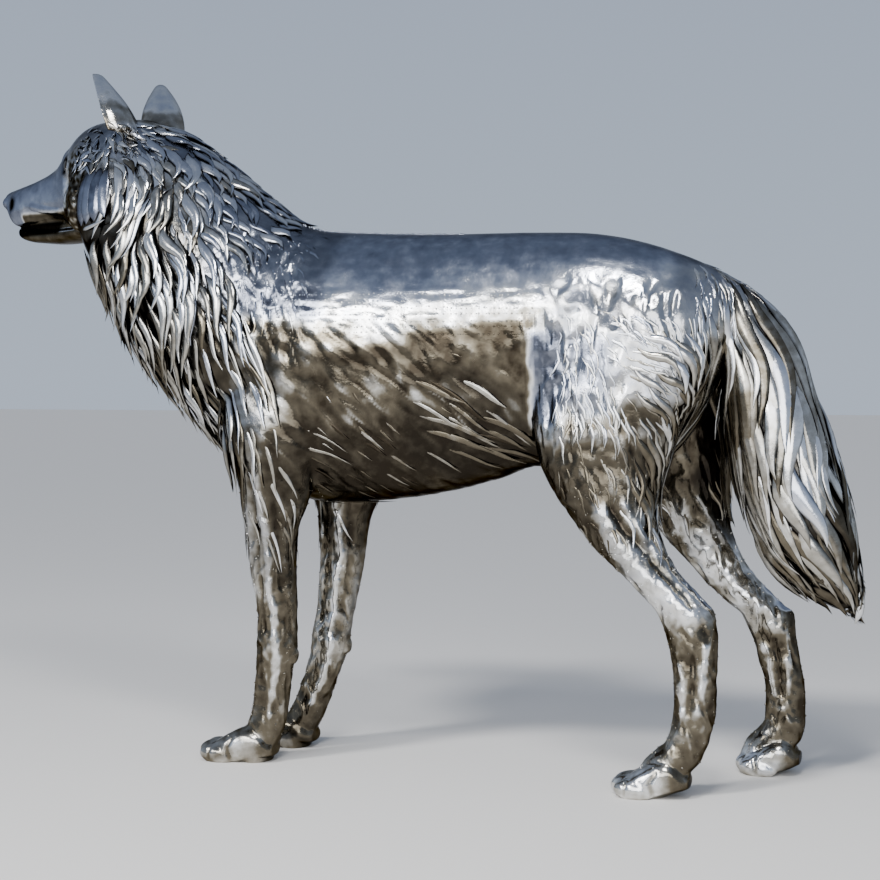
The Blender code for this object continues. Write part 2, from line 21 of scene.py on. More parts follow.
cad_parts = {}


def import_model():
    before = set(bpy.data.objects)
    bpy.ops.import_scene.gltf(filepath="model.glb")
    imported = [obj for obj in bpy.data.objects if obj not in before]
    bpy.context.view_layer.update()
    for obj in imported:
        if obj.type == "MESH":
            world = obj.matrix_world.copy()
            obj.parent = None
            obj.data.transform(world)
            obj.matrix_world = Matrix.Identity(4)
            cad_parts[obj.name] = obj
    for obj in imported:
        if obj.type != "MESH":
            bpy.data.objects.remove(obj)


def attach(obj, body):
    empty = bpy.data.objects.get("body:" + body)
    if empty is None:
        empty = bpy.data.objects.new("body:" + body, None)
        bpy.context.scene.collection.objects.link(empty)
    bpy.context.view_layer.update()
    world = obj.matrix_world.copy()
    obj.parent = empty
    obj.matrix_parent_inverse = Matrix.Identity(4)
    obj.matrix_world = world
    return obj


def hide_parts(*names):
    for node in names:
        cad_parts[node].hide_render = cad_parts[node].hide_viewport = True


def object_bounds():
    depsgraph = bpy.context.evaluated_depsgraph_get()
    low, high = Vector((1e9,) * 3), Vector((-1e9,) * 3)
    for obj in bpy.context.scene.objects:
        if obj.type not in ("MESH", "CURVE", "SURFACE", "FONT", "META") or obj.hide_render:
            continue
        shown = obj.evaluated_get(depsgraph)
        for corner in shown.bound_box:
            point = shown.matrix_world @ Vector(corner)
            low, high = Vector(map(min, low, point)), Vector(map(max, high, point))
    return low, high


logging.basicConfig(level=logging.INFO, format="%(name)s: %(message)s")
LOG = logging.getLogger("wolf")

CENTRE = Vector((-0.2268, -0.0087, 0.0))  # the part's origin in the drawing frame
MERGE = 0.0001  # points nearer than this are one
BRIGHTEST = 0.5  # tone of the painted white highlight, between the painted dark blue sky reflection 0 and the painted dark brown ground reflection 1
TINY = 1e-9  # keeps a division from failing
STEPS = 4  # rings of a loft between two rows of its table
ROUND = 2.0  # squareness of an ellipse
APART = Vector((7.0, 0.0, 0.0))  # sets one noise apart from another
COARSE_BALL = (20, 12)  # faces round and along a ball that is fused into the skin
FINE_BALL = (40, 24)  # and of one that stays as it is
Item = bpy.types.Object
Socket = bpy.types.NodeSocket
Array = np.ndarray
Row = tuple[float, ...]
Rings = list[list[Vector]]


class Side(Enum):
    """The two sides of the wolf, as a sign along +Y."""

    LEFT = -1
    RIGHT = 1


# ---- tables and mesh tools ----
@dataclass(frozen=True)
class Table:
    """Rows of sizes along one rising or falling first column."""

    rows: tuple[Row, ...]

    def at(self, position: float) -> list[float]:
        """Read the table on a smooth curve.

        Args:
            position: place along the first column.

        Returns:
            The other columns at that place.
        """
        rows = self.rows if self.rows[-1][0] > self.rows[0][0] else self.rows[::-1]
        position = min(max(position, rows[0][0]), rows[-1][0])
        last = len(rows) - 2
        index = next((i for i in range(last + 1) if position <= rows[i + 1][0]), last)
        low, high = rows[index], rows[index + 1]
        before, after = rows[max(index - 1, 0)], rows[min(index + 2, len(rows) - 1)]
        span = high[0] - low[0]
        share = (position - low[0]) / span
        square, cube = share * share, share ** 3
        values = []
        for column in range(1, len(low)):
            leave = (high[column] - before[column]) / max(high[0] - before[0], TINY) * span
            reach = (after[column] - low[column]) / max(after[0] - low[0], TINY) * span
            values.append((2 * cube - 3 * square + 1) * low[column]
                          + (cube - 2 * square + share) * leave
                          + (3 * square - 2 * cube) * high[column] + (cube - square) * reach)
        return values

    def stops(self) -> list[float]:
        """Places along the first column, with a few steps between two rows."""
        marks = [row[0] for row in self.rows]
        spread = [low + (high - low) * step / STEPS
                  for low, high in zip(marks, marks[1:]) for step in range(STEPS)]
        return spread + [marks[-1]]


def rounded(angle: float, power: float) -> tuple[float, float]:
    """Cosine and sine of an angle on a superellipse.

    Args:
        angle: in radians.
        power: 2 is an ellipse, more is boxier.

    Returns:
        The cosine and the sine.
    """
    cosine, sine = math.cos(angle), math.sin(angle)
    return (math.copysign(abs(cosine) ** (ROUND / power), cosine),
            math.copysign(abs(sine) ** (ROUND / power), sine))


def ring(sides: int, power: float, place: Callable[[float, float], Vector]) -> list[Vector]:
    """Points round a superellipse, each placed by its cosine and sine."""
    return [place(*rounded(2.0 * math.pi * side / sides, power)) for side in range(sides)]


def put_in_scene(name: str, data: bpy.types.ID) -> Item:
    """Make an object of a mesh, a lamp or a lens and put it in the scene.

    Args:
        name: the object's name.
        data: the mesh, lamp or lens.

    Returns:
        The new object.
    """
    item = bpy.data.objects.new(name, data)
    bpy.context.scene.collection.objects.link(item)
    return item


def make_object(name: str, bm: bmesh.types.BMesh) -> Item:
    """Turn a bmesh into an object of the scene.

    Args:
        name: name of the object and its mesh.
        bm: the mesh, which is freed.

    Returns:
        The new object.
    """
    bmesh.ops.recalc_face_normals(bm, faces=bm.faces[:])
    mesh = bpy.data.meshes.new(name)
    bm.to_mesh(mesh)
    bm.free()
    return put_in_scene(name, mesh)


def loft(name: str, rings: Rings) -> Item:
    """Skin a row of closed rings and cap both ends.

    Args:
        name: name of the object.
        rings: rings with the same number of points.

    Returns:
        The closed loft.
    """
    bm = bmesh.new()
    loops = [[bm.verts.new(point) for point in row] for row in rings]
    for first, second in zip(loops, loops[1:]):
        for index in range(len(first)):
            after = (index + 1) % len(first)
            bm.faces.new((first[index], first[after], second[after], second[index]))
    bm.faces.new(loops[0][::-1])
    bm.faces.new(loops[-1])
    return make_object(name, bm)


def knob(name: str, centre: Vector, axes: Sequence[Vector], fine: bool = False) -> Item:
    """Make an ellipsoid.

    Args:
        name: name of the object.
        centre: its middle.
        axes: three half-axis vectors.
        fine: True for a piece that stays as it is.

    Returns:
        The ellipsoid.
    """
    bm = bmesh.new()
    around, along = FINE_BALL if fine else COARSE_BALL
    bmesh.ops.create_uvsphere(bm, u_segments=around, v_segments=along, radius=1.0)
    for vert in bm.verts:
        place = vert.co.copy()
        vert.co = centre + axes[0] * place.x + axes[1] * place.y + axes[2] * place.z
    return make_object(name, bm)


def join(items: Sequence[Item], name: str) -> Item:
    """Join objects into the first one and rename it.

    Args:
        items: the objects.
        name: name of the joined object and its mesh.

    Returns:
        The joined object.
    """
    bpy.ops.object.select_all(action="DESELECT")
    for item in items:
        item.select_set(True)
    bpy.context.view_layer.objects.active = items[0]
    bpy.ops.object.join()
    items[0].name = name
    items[0].data.name = name
    return items[0]


def bake(item: Item) -> None:
    """Replace an object's mesh by what its modifiers make of it.

    Args:
        item: the object, which loses its modifiers.
    """
    bpy.context.view_layer.update()
    evaluated = item.evaluated_get(bpy.context.evaluated_depsgraph_get())
    mesh = bpy.data.meshes.new_from_object(evaluated)
    mesh.name = item.name
    item.modifiers.clear()
    old = item.data
    item.data = mesh
    bpy.data.meshes.remove(old)


def fuse(item: Item, grain: float, smoothing: int) -> None:
    """Weld overlapping forms into one skin and soften it.

    Args:
        item: object that holds the forms.
        grain: voxel size in metres.
        smoothing: rounds of smoothing.
    """
    weld = item.modifiers.new("weld", "REMESH")
    weld.mode = "VOXEL"
    weld.voxel_size = grain
    soften = item.modifiers.new("soften", "SMOOTH")
    soften.factor = 0.5
    soften.iterations = smoothing
    bake(item)


def search_tree(items: Sequence[Item]) -> BVHTree:
    """Build a search tree over the faces of some objects.

    Args:
        items: the objects.

    Returns:
        The tree.
    """
    bm = bmesh.new()
    for item in items:
        bm.from_mesh(item.data)
    tree = BVHTree.FromBMesh(bm)
    bm.free()
    return tree


def read_places(item: Item, what: str = "co") -> Array:
    """Read one vector of every vertex into an array.

    Args:
        item: a mesh object.
        what: "co" for places or "normal" for normals.

    Returns:
        One row of three numbers for each vertex.
    """
    values = np.empty(len(item.data.vertices) * 3)
    item.data.vertices.foreach_get(what, values)
    return values.reshape(-1, 3)


def write_places(item: Item, places: Array) -> None:
    """Write every vertex's place back to the mesh."""
    item.data.vertices.foreach_set("co", places.astype(np.float32).ravel())
    item.data.update()


def smooth_shade(item: Item, degrees: float) -> None:
    """Shade smooth, with edges past the angle kept sharp."""
    item.data.shade_smooth()
    item.data.set_sharp_from_angle(angle=math.radians(degrees))


# ---- node trees ----
@dataclass(frozen=True)
class Wiring:
    """A node tree that is being wired."""

    tree: bpy.types.NodeTree

    @classmethod
    def start(cls, name: str, inputs: dict[str, str]) -> "Wiring":
        """Start a Geometry Nodes tree.

        Args:
            name: its name.
            inputs: the kind of each named input besides the geometry.

        Returns:
            The tree's wiring.
        """
        tree = bpy.data.node_groups.new(name, "GeometryNodeTree")
        add = tree.interface.new_socket
        for title, kind in {"Geometry": "Geometry", **inputs}.items():
            add(name=title, in_out="INPUT", socket_type="NodeSocket" + kind)
        add(name="Geometry", in_out="OUTPUT", socket_type="NodeSocketGeometry")
        return cls(tree)

    def add(self, kind: str, inputs: dict[str | int, object] | None = None,
            **settings: object) -> bpy.types.Node:
        """Add a node and feed it.

        Args:
            kind: the node's type.
            inputs: for each input, a value or the output that is linked to it.
            settings: the node's own settings.

        Returns:
            The node.
        """
        node = self.tree.nodes.new(kind)
        for name, value in settings.items():
            setattr(node, name, value)
        self.feed(node, inputs or {})
        return node

    def feed(self, node: bpy.types.Node, inputs: dict[str | int, object]) -> None:
        """Set a node's inputs, or link outputs to them."""
        for name, value in inputs.items():
            if isinstance(value, Socket):
                self.tree.links.new(value, node.inputs[name])
            else:
                node.inputs[name].default_value = value

    def stored(self, name: str, kind: str = "FLOAT") -> Socket:
        """Read what a Geometry Nodes tree finds stored at the points under a name."""
        node = self.add("GeometryNodeInputNamedAttribute", {"Name": name}, data_type=kind)
        return node.outputs["Attribute"]

    def ramp(self, value: Socket, stops: Sequence[tuple[float, Row]]) -> Socket:
        """Turn a number into a colour.

        Args:
            value: the number.
            stops: numbers and their colours, in rising order.

        Returns:
            The colour.
        """
        node = self.add("ShaderNodeValToRGB", {"Fac": value})
        elements = node.color_ramp.elements
        while len(elements) < len(stops):
            elements.new(0.5)
        for element, (place, colour) in zip(elements, stops):
            element.position = place
            element.color = (*colour, 1.0)
        return node.outputs["Color"]

    def finish(self, mesh: Socket, steel: Socket) -> bpy.types.NodeTree:
        """End a Geometry Nodes tree: real, smooth and of one material.

        Args:
            mesh: what the tree has made.
            steel: the material.

        Returns:
            The tree.
        """
        real = self.add("GeometryNodeRealizeInstances", {"Geometry": mesh})
        smooth = self.add("GeometryNodeSetShadeSmooth", {"Geometry": real.outputs["Geometry"]})
        dressed = self.add("GeometryNodeSetMaterial",
                           {"Geometry": smooth.outputs["Geometry"], "Material": steel})
        self.add("NodeGroupOutput", {"Geometry": dressed.outputs["Geometry"]})
        return self.tree


def run_tree(item: Item, tree: bpy.types.NodeTree, values: dict[str, object]) -> None:
    """Run a Geometry Nodes tree on an object and keep what it makes.

    Args:
        item: the object.
        tree: the node tree.
        values: the tree's inputs by name.
    """
    modifier = item.modifiers.new(tree.name, "NODES")
    modifier.node_group = tree
    sockets = {entry.name: entry.identifier for entry in tree.interface.items_tree
               if entry.in_out == "INPUT"}
    for name, value in values.items():
        modifier[sockets[name]] = value
    bake(item)


def start_material(name: str) -> tuple[bpy.types.Material, Wiring, bpy.types.Node]:
    """Start a node material.

    Args:
        name: its name.

    Returns:
        The material, its wiring and its shader.
    """
    material = bpy.data.materials.new(name)
    material.use_nodes = True
    return material, Wiring(material.node_tree), material.node_tree.nodes["Principled BSDF"]


# ---- anatomy ----
@dataclass(frozen=True)
class Crease:
    """A groove or a ridge along a line drawn on the side of the wolf."""

    line: tuple[Row, ...]  # places along it, seen from the side
    reach: float  # half its width
    height: float  # negative for a groove

    def rise(self, spots: Array) -> Array:
        """Height of the crease.

        Args:
            spots: places seen from the side, one row of two numbers each.

        Returns:
            One height for each place.
        """
        nearest, along, whole = np.full(len(spots), np.inf), np.zeros(len(spots)), 0.0
        for start, end in zip(self.line, self.line[1:]):
            run = np.array(end) - np.array(start)
            share = np.clip((spots - np.array(start)) @ run / (run @ run), 0.0, 1.0)
            apart = np.linalg.norm(spots - np.array(start) - share[:, None] * run, axis=1)
            along = np.where(apart < nearest, whole + share * np.linalg.norm(run), along)
            nearest = np.minimum(nearest, apart)
            whole += float(np.linalg.norm(run))
        ends = np.clip(np.minimum(along, whole - along) / self.reach, 0.0, 1.0)
        return self.height * ends * np.clip(1.0 - (nearest / self.reach) ** 2, 0.0, 1.0) ** 2


@dataclass
class HeadFrame:
    """The head's own frame: origin over the ears, turned to the wolf's right."""

    origin: Vector = field(default_factory=lambda: Vector((-1.255, 0.0, 0.0)))
    turn: float = math.radians(20.0)

    @property
    def ahead(self) -> Vector:
        """Unit vector along the muzzle."""
        return Vector((-math.cos(self.turn), math.sin(self.turn), 0.0))

    @property
    def aside(self) -> Vector:
        """Unit vector to the wolf's left."""
        return Vector((-math.sin(self.turn), -math.cos(self.turn), 0.0))

    def point(self, ahead: float, aside: float, height: float) -> Vector:
        """A point given in the head's frame, in the drawing frame."""
        return self.origin + self.ahead * ahead + self.aside * aside + Vector((0.0, 0.0, height))

    def axes(self, length: float, width: float, tall: float) -> tuple[Vector, Vector, Vector]:
        """Three half axes square to the head."""
        return self.ahead * length, self.aside * width, Vector((0.0, 0.0, tall))

    def skin_at(self, tree: BVHTree, ahead: float, height: float, side: Side,
                reach: float = 0.4) -> tuple[Vector, Vector]:
        """Find the skin on one side of the head.

        Args:
            tree: the skin's search tree.
            ahead: how far ahead.
            height: how high.
            side: which side of the head.
            reach: how far outside the head the search starts.

        Returns:
            The place on the skin and its normal.
        """
        outside = self.point(ahead, -reach * side.value, height)
        place, normal, _, _ = tree.ray_cast(outside, self.aside * side.value)
        return place, normal


@dataclass
class Trunk:
    """Rump, back, chest and neck in one loft, each section square to the spine."""

    head: HeadFrame
    sides: int = 56
    squareness: float = 2.1
    sections: Table = Table((  # top x, top z, bottom x, bottom z, half width, bias, turn
        (1.2, 1.77, 1.095, 1.56, 0.06, 0.0, 0.0), (1.13, 1.835, 0.985, 1.33, 0.165, 0.0, 0.0),
        (1.0, 1.905, 0.85, 1.19, 0.232, 0.08, 0.0), (0.81, 1.975, 0.69, 1.14, 0.262, 0.12, 0.0),
        (0.62, 2.014, 0.52, 1.135, 0.266, 0.14, 0.0), (0.43, 2.024, 0.376, 1.15, 0.266, 0.14, 0.0),
        (0.24, 2.026, 0.239, 1.1, 0.28, 0.12, 0.0), (0.04, 2.026, 0.04, 1.048, 0.3, 0.1, 0.0),
        (-0.161, 2.032, -0.19, 1.012, 0.314, 0.08, 0.0),
        (-0.33, 2.04, -0.45, 1.0, 0.318, 0.08, 0.0), (-0.44, 2.048, -0.68, 1.05, 0.312, 0.1, 0.0),
        (-0.52, 2.064, -0.84, 1.185, 0.298, 0.1, 0.0), (-0.6, 2.096, -1.0, 1.335, 0.284, 0.08, 0.1),
        (-0.69, 2.168, -1.13, 1.455, 0.272, 0.06, 0.2),
        (-0.79, 2.24, -1.235, 1.575, 0.26, 0.04, 0.3),
        (-0.895, 2.322, -1.31, 1.715, 0.25, 0.02, 0.5), (-1.0, 2.396, -1.38, 1.84, 0.243, 0.0, 0.7),
        (-1.09, 2.448, -1.435, 1.955, 0.23, 0.0, 0.9),
        (-1.19, 2.488, -1.475, 2.045, 0.203, 0.05, 1.0),
        (-1.28, 2.503, -1.48, 2.115, 0.16, 0.08, 1.0),
    ))

    def build(self) -> Item:
        """Loft the trunk.

        Returns:
            The trunk.
        """
        table = Table(tuple((float(index),) + row for index, row in enumerate(self.sections.rows)))
        rings: Rings = []
        for mark in table.stops():
            top_x, top_z, bottom_x, bottom_z, half_width, bias, turn = table.at(mark)
            top, bottom = Vector((top_x, 0.0, top_z)), Vector((bottom_x, 0.0, bottom_z))
            middle, arm = (top + bottom) / 2.0, (top - bottom) / 2.0
            swing = self.head.turn * turn
            across = Vector((math.sin(swing), math.cos(swing), 0.0))
            rings.append(ring(self.sides, self.squareness, lambda rise, reach: (
                middle + arm * rise + across * half_width * reach * (1.0 + bias * rise))))
        return loft("trunk", rings)


@dataclass
class Leg:
    """A leg lofted from level sections, with a swelling for a pad or heel."""

    side: Side
    sections: Table  # z, centre x, half length, centre |y|, half width
    swelling: Row  # x, |y|, z, half length, half width, half height
    creases: tuple[Crease, ...] = ()
    shift: Table | None = None
    sides: int = 44
    levels: Row = (0.0, 2.0, 81)  # lowest, highest and number of heights to read the shift at
    outer: Row = (1.6, 0.5)  # how the creases fade where the skin turns to the front and back
    inmost: float = 0.02  # nearest the middle that a leg's own skin comes

    def moved(self, height: float) -> float:
        """How far this leg stands behind the drawn one at a height."""
        return self.shift.at(height)[0] if self.shift else 0.0

    def rise(self, places: Array, normals: Array) -> Array:
        """Height of the leg's creases at many places of the skin.

        Args:
            places: one row for each place.
            normals: the skin's normals there.

        Returns:
            One height for each place.
        """
        levels = np.linspace(*self.levels)
        back = np.interp(places[:, 2], levels, [self.moved(height) for height in levels])
        spots = np.stack((places[:, 0] - back, places[:, 2]), axis=1)
        flank = np.clip(self.outer[0] * np.abs(normals[:, 1]) - self.outer[1], 0.0, 1.0)
        own_side = places[:, 1] * self.side.value > self.inmost
        return sum(crease.rise(spots) for crease in self.creases) * own_side * flank

    def build(self) -> list[Item]:
        """Loft the leg and add its swelling.

        Returns:
            The closed forms.
        """
        rings: Rings = []
        for height in self.sections.stops():
            centre_x, length, centre_y, width = self.sections.at(height)
            centre_x += self.moved(height)
            rings.append(ring(self.sides, ROUND, lambda behind, aside: Vector(
                (centre_x + length * behind, self.side.value * centre_y + width * aside, height))))
        x, y, z, length, width, tall = self.swelling
        axes = (Vector((length, 0, 0)), Vector((0, width, 0)), Vector((0, 0, tall)))
        bump = knob("swelling", Vector((x + self.moved(z - tall), y * self.side.value, z)), axes)
        return [loft("leg", rings), bump]


@dataclass
class Paw:
    """A paw with four toes and a flat sole."""

    toe_x: float
    centre_y: float
    length: float
    sole: float = 0.012  # modelled below the ground, then cut
    squareness: float = 2.6
    sides: int = 40
    heel: float = 0.0  # how far the heel is raised
    arch: Row = (0.55, 0.45)  # where it starts to rise, and over which share of the length
    thinnest: float = 0.05
    toe: Row = (0.42, 0.58, 0.012)  # middle and half height over its height, and its dip
    foot: Table = Table((  # share of the length behind the toe tips, height, half width
        (0.08, 0.04, 0.05), (0.2, 0.068, 0.086), (0.37, 0.098, 0.098), (0.55, 0.126, 0.098),
        (0.75, 0.138, 0.092), (0.92, 0.1, 0.078), (1.0, 0.05, 0.046),
    ))
    toes: tuple[Row, ...] = (  # aside, behind the tips, half length, half width, height
        (-0.076, 0.092, 0.072, 0.032, 0.066), (-0.028, 0.074, 0.074, 0.033, 0.076),
        (0.028, 0.074, 0.074, 0.033, 0.076), (0.076, 0.092, 0.072, 0.032, 0.066),
    )

    def build(self) -> list[Item]:
        """Make the foot and its toes.

        Returns:
            The closed forms.
        """
        rings: Rings = []
        for behind in self.foot.stops():
            height, half_width = self.foot.at(behind)
            low = self.heel * max(0.0, behind - self.arch[0]) / self.arch[1] - self.sole
            tall = max(height, low + self.thinnest) - low
            rings.append(ring(self.sides, self.squareness, lambda rise, reach: Vector(
                (self.toe_x + behind * self.length, self.centre_y + half_width * reach,
                 low + tall * (1.0 + rise) / 2.0))))
        pieces = [loft("paw", rings)]
        middle, tall, dip = self.toe
        for aside, behind, length, width, height in self.toes:
            centre = Vector((self.toe_x + behind, self.centre_y + aside, height * middle))
            axes = (Vector((length, 0, -dip)), Vector((0, width, 0)),
                    Vector((dip, 0, height * tall)))
            pieces.append(knob("toe", centre, axes))
        return pieces


@dataclass
class Tail:
    """The hanging brush of the tail."""

    sides: int = 44
    sections: Table = Table((  # z, inner x, outer x, half width
        (1.82, 1.08, 1.165, 0.05), (1.76, 1.06, 1.235, 0.095), (1.68, 1.05, 1.304, 0.115),
        (1.575, 1.062, 1.358, 0.128), (1.42, 1.085, 1.4, 0.138), (1.297, 1.105, 1.446, 0.142),
        (1.154, 1.135, 1.494, 0.142), (1.04, 1.17, 1.522, 0.136), (0.93, 1.204, 1.545, 0.124),
        (0.83, 1.25, 1.556, 0.104), (0.76, 1.31, 1.562, 0.08), (0.7, 1.41, 1.562, 0.05),
        (0.66, 1.49, 1.558, 0.022),
    ))

    def build(self) -> Item:
        """Loft the tail.

        Returns:
            The tail.
        """
        rings: Rings = []
        for height in self.sections.stops():
            inner, outer, half_width = self.sections.at(height)
            middle, arm = (inner + outer) / 2.0, (outer - inner) / 2.0
            rings.append(ring(self.sides, ROUND, lambda behind, aside: Vector(
                (middle + arm * behind, half_width * aside, height))))
        return loft("tail", rings)


@dataclass
class Ear:
    """A cupped ear, open to the front and outwards."""

    side: Side
    head: HeadFrame
    base: Row = (0.006, 0.118, 2.44)
    tip: Row = (0.09, 0.18, 2.684)
    facing: float = math.radians(42.0)
    breadth: float = 1.0  # of its base
    lead: float = 0.0  # how far ahead its base stands
    wall: float = 0.022
    thickest: float = 0.7  # the wall, over the smaller of half width and depth
    wrap: float = 100.0  # degrees that the cup reaches round to either side
    hollow_wrap: float = 0.92  # share of them that its hollow takes
    steps: int = 8  # faces round either side
    shape: Table = Table((  # share of the height, half width, depth of the cup
        (0.0, 0.116, 0.108), (0.3, 0.108, 0.104), (0.52, 0.09, 0.09), (0.72, 0.064, 0.068),
        (0.88, 0.038, 0.048), (0.97, 0.022, 0.034), (1.0, 0.01, 0.02),
    ))

    def build(self) -> Item:
        """Loft the cup as one closed wall.

        Returns:
            The ear.
        """
        hand = -self.side.value
        base = self.head.point(self.base[0], self.base[1] * hand, self.base[2])
        tip = self.head.point(self.tip[0], self.tip[1] * hand, self.tip[2])
        facing = (self.head.ahead * math.cos(self.facing)
                  + self.head.aside * math.sin(self.facing) * hand)
        across = (tip - base).cross(facing).normalized()
        arc = [math.radians(self.wrap * stop / self.steps)
               for stop in range(-self.steps, self.steps + 1)]
        rings: Rings = []
        for mark in self.shape.stops():
            half_width, depth = self.shape.at(mark)
            half_width *= 1.0 + (self.breadth - 1.0) * (1.0 - mark)
            middle = base.lerp(tip, mark) + self.head.ahead * self.lead * (1.0 - mark)
            wall = min(self.wall, self.thickest * min(half_width, depth))
            outer = [middle + across * half_width * math.sin(a) - facing * depth * math.cos(a)
                     for a in arc]
            inner = [middle + across * (half_width - wall) * math.sin(a * self.hollow_wrap)
                     - facing * (depth - wall) * math.cos(a * self.hollow_wrap) for a in arc]
            rings.append(outer + inner[::-1])
        return loft("ear", rings)


@dataclass
class Head:
    """Skull, jaw, face and ears."""

    frame: HeadFrame
    sides: int = 56
    skull: Table = Table((  # ahead, top z, bottom z, half width, squareness
        (-0.12, 2.47, 2.15, 0.11, 2.0), (-0.05, 2.506, 2.08, 0.175, 2.0),
        (0.05, 2.518, 2.05, 0.205, 2.0), (0.16, 2.52, 2.04, 0.198, 2.0),
        (0.24, 2.514, 2.042, 0.176, 2.0), (0.3, 2.496, 2.05, 0.152, 2.0),
        (0.355, 2.46, 2.068, 0.13, 2.0), (0.405, 2.408, 2.098, 0.112, 2.2),
        (0.45, 2.368, 2.112, 0.1, 2.3), (0.52, 2.335, 2.118, 0.091, 2.4),
        (0.6, 2.312, 2.122, 0.085, 2.5), (0.67, 2.297, 2.122, 0.079, 2.5),
        (0.74, 2.286, 2.122, 0.07, 2.4), (0.776, 2.281, 2.13, 0.058, 2.3),
        (0.804, 2.277, 2.166, 0.048, 2.1), (0.828, 2.27, 2.19, 0.036, 2.0),
        (0.842, 2.256, 2.216, 0.018, 2.0),
    ))
    jaw: Table = Table((
        (0.25, 2.11, 2.048, 0.11, 2.0), (0.386, 2.105, 2.039, 0.096, 2.2),
        (0.5, 2.102, 2.037, 0.08, 2.4), (0.59, 2.106, 2.045, 0.067, 2.4),
        (0.66, 2.112, 2.052, 0.057, 2.4), (0.727, 2.122, 2.068, 0.042, 2.2),
        (0.75, 2.118, 2.086, 0.02, 2.0),
    ))
    palate: Table = Table((
        (0.3, 2.14, 2.08, 0.085, 2.0), (0.5, 2.14, 2.075, 0.058, 2.2),
        (0.66, 2.145, 2.08, 0.036, 2.2), (0.702, 2.14, 2.095, 0.018, 2.0),
    ))
    knobs: tuple[Row, ...] = (  # ahead, aside, z, half length, half width, half height
        (0.322, 0.062, 2.378, 0.056, 0.046, 0.056),  # brow
        (0.2, 0.12, 2.19, 0.12, 0.085, 0.13),  # cheek
        (0.806, 0.032, 2.226, 0.03, 0.022, 0.026),  # nostril wing
    )
    ears: dict[Side, Row] = field(default_factory=lambda: {  # breadth and lead of the base
        Side.LEFT: (1.18, 0.024), Side.RIGHT: (0.74, 0.0)})
    eye: Row = (0.316, 2.342, 0.61)  # ahead, z, forward lean of its long axis
    eye_size: Row = (0.026, 0.012, 0.008)
    sunk: float = 0.6  # how far an eye's middle lies inside the skin, over its depth
    socket: Row = (0.044, 0.012, 0.003)  # reach, depth, rise of the lids
    lids: Row = (0.85, 0.22)  # where the lids rise and how broad, over the socket's reach
    hollow: Row = (0.212, 2.22, 0.094, 0.185, 0.86)  # painted shade of the hollow: ahead, z, half length, half height, tone
    hollow_edge: Row = (1.8, 1.4)  # how its tone fades outwards
    flecks: Row = (55.0, 0.6)  # pitch and strength of the flecks in it
    nostril: Row = (0.742, 0.054, 2.214, 0.038)  # painted shade in the nostril: ahead, aside, z, reach
    nostril_edge: Row = (2.2, 2.0)
    mouth: Row = (0.42, 0.8, 2.074, 2.128)  # painted shade in the mouth: from, to, lowest z, highest z
    mouth_edge: Row = (0.03, 0.008, 0.5)  # width of its border ahead and up, and its bias
    eye_painted_shade: Row = (0.96, 0.038, 2.6)  # painted shade of the eyes: darkness, reach, length over height, squared
    eye_edge: Row = (2.2, 1.9)
    midline: Row = (0.03, 0.01)  # width of the strips where no crease and no painted shade comes
    face: float = 0.2  # how far ahead the face starts
    presses: tuple[Row, ...] = (  # ahead, aside, z, reach, depth; a negative depth swells
        (0.748, 0.048, 2.214, 0.036, 0.016),  # nostril
        (0.43, 0.094, 2.104, 0.03, 0.01),  # corner of the mouth
        (0.7, 0.085, 2.245, 0.05, 0.003),  # side of the muzzle
        (0.372, 0.08, 2.392, 0.04, -0.005),  # brow
    )
    creases: tuple[Crease, ...] = (
        Crease(((0.66, 2.17), (0.54, 2.148), (0.45, 2.138), (0.37, 2.128)), 0.032, -0.006),
        Crease(((0.61, 2.198), (0.54, 2.18), (0.47, 2.17), (0.38, 2.16)), 0.02, 0.006),
        Crease(((0.29, 2.32), (0.272, 2.259), (0.268, 2.203), (0.26, 2.16), (0.253, 2.117)), 0.05,
               -0.015),
    )
    eyes_found: list[tuple[Vector, Vector]] = field(default_factory=list)

    def form(self, name: str, table: Table) -> Item:
        """Loft one form of the head, with sections square to its axis.

        Args:
            name: name of the form.
            table: its sections.

        Returns:
            The closed form.
        """
        rings: Rings = []
        for mark in table.stops():
            top, bottom, half_width, power = table.at(mark)
            rings.append(ring(self.sides, power, lambda rise, reach: self.frame.point(
                mark, half_width * reach, (top + bottom) / 2.0 + (top - bottom) / 2.0 * rise)))
        return loft(name, rings)

    def build(self) -> list[Item]:
        """Make every form of the head that is fused into the skin.

        Returns:
            The closed forms.
        """
        forms = [self.form("skull", self.skull), self.form("jaw", self.jaw),
                 self.form("palate", self.palate)]
        for side in Side:
            breadth, lead = self.ears[side]
            forms.append(Ear(side, self.frame, breadth=breadth, lead=lead).build())
            for ahead, aside, height, length, width, tall in self.knobs:
                place = self.frame.point(ahead, -aside * side.value, height)
                forms.append(knob("knob", place, self.frame.axes(length, width, tall)))
        return forms

    def find_eyes(self, tree: BVHTree) -> None:
        """Find where the eyes sit on the smooth skin."""
        for side in Side:
            place, normal = self.frame.skin_at(tree, self.eye[0], self.eye[1], side, reach=0.3)
            self.eyes_found.append((place, normal))

    def eyes(self) -> Item:
        """Set two dark eyeballs in their sockets.

        Returns:
            The eyes as one piece.
        """
        balls = []
        length, width, depth = self.eye_size
        for place, normal in self.eyes_found:
            along = Vector((0.0, 0.0, 1.0)) + self.frame.ahead * self.eye[2]
            along = (along - normal * along.dot(normal)).normalized()
            across = normal.cross(along)
            axes = (along * length, across * width, normal * depth)
            balls.append(knob("eye", place - normal * self.sunk * depth, axes, fine=True))
        return join(balls, "eyes")

    def spots(self, places: Array) -> tuple[Array, Array, Array]:
        """Measure places in the head's frame.

        Args:
            places: one row for each place.

        Returns:
            How far ahead, how far aside and how high they are.
        """
        offset = places - np.array(self.frame.origin)
        ahead, aside = np.array(self.frame.ahead), np.array(self.frame.aside)
        return offset @ ahead, offset @ aside, places[:, 2]

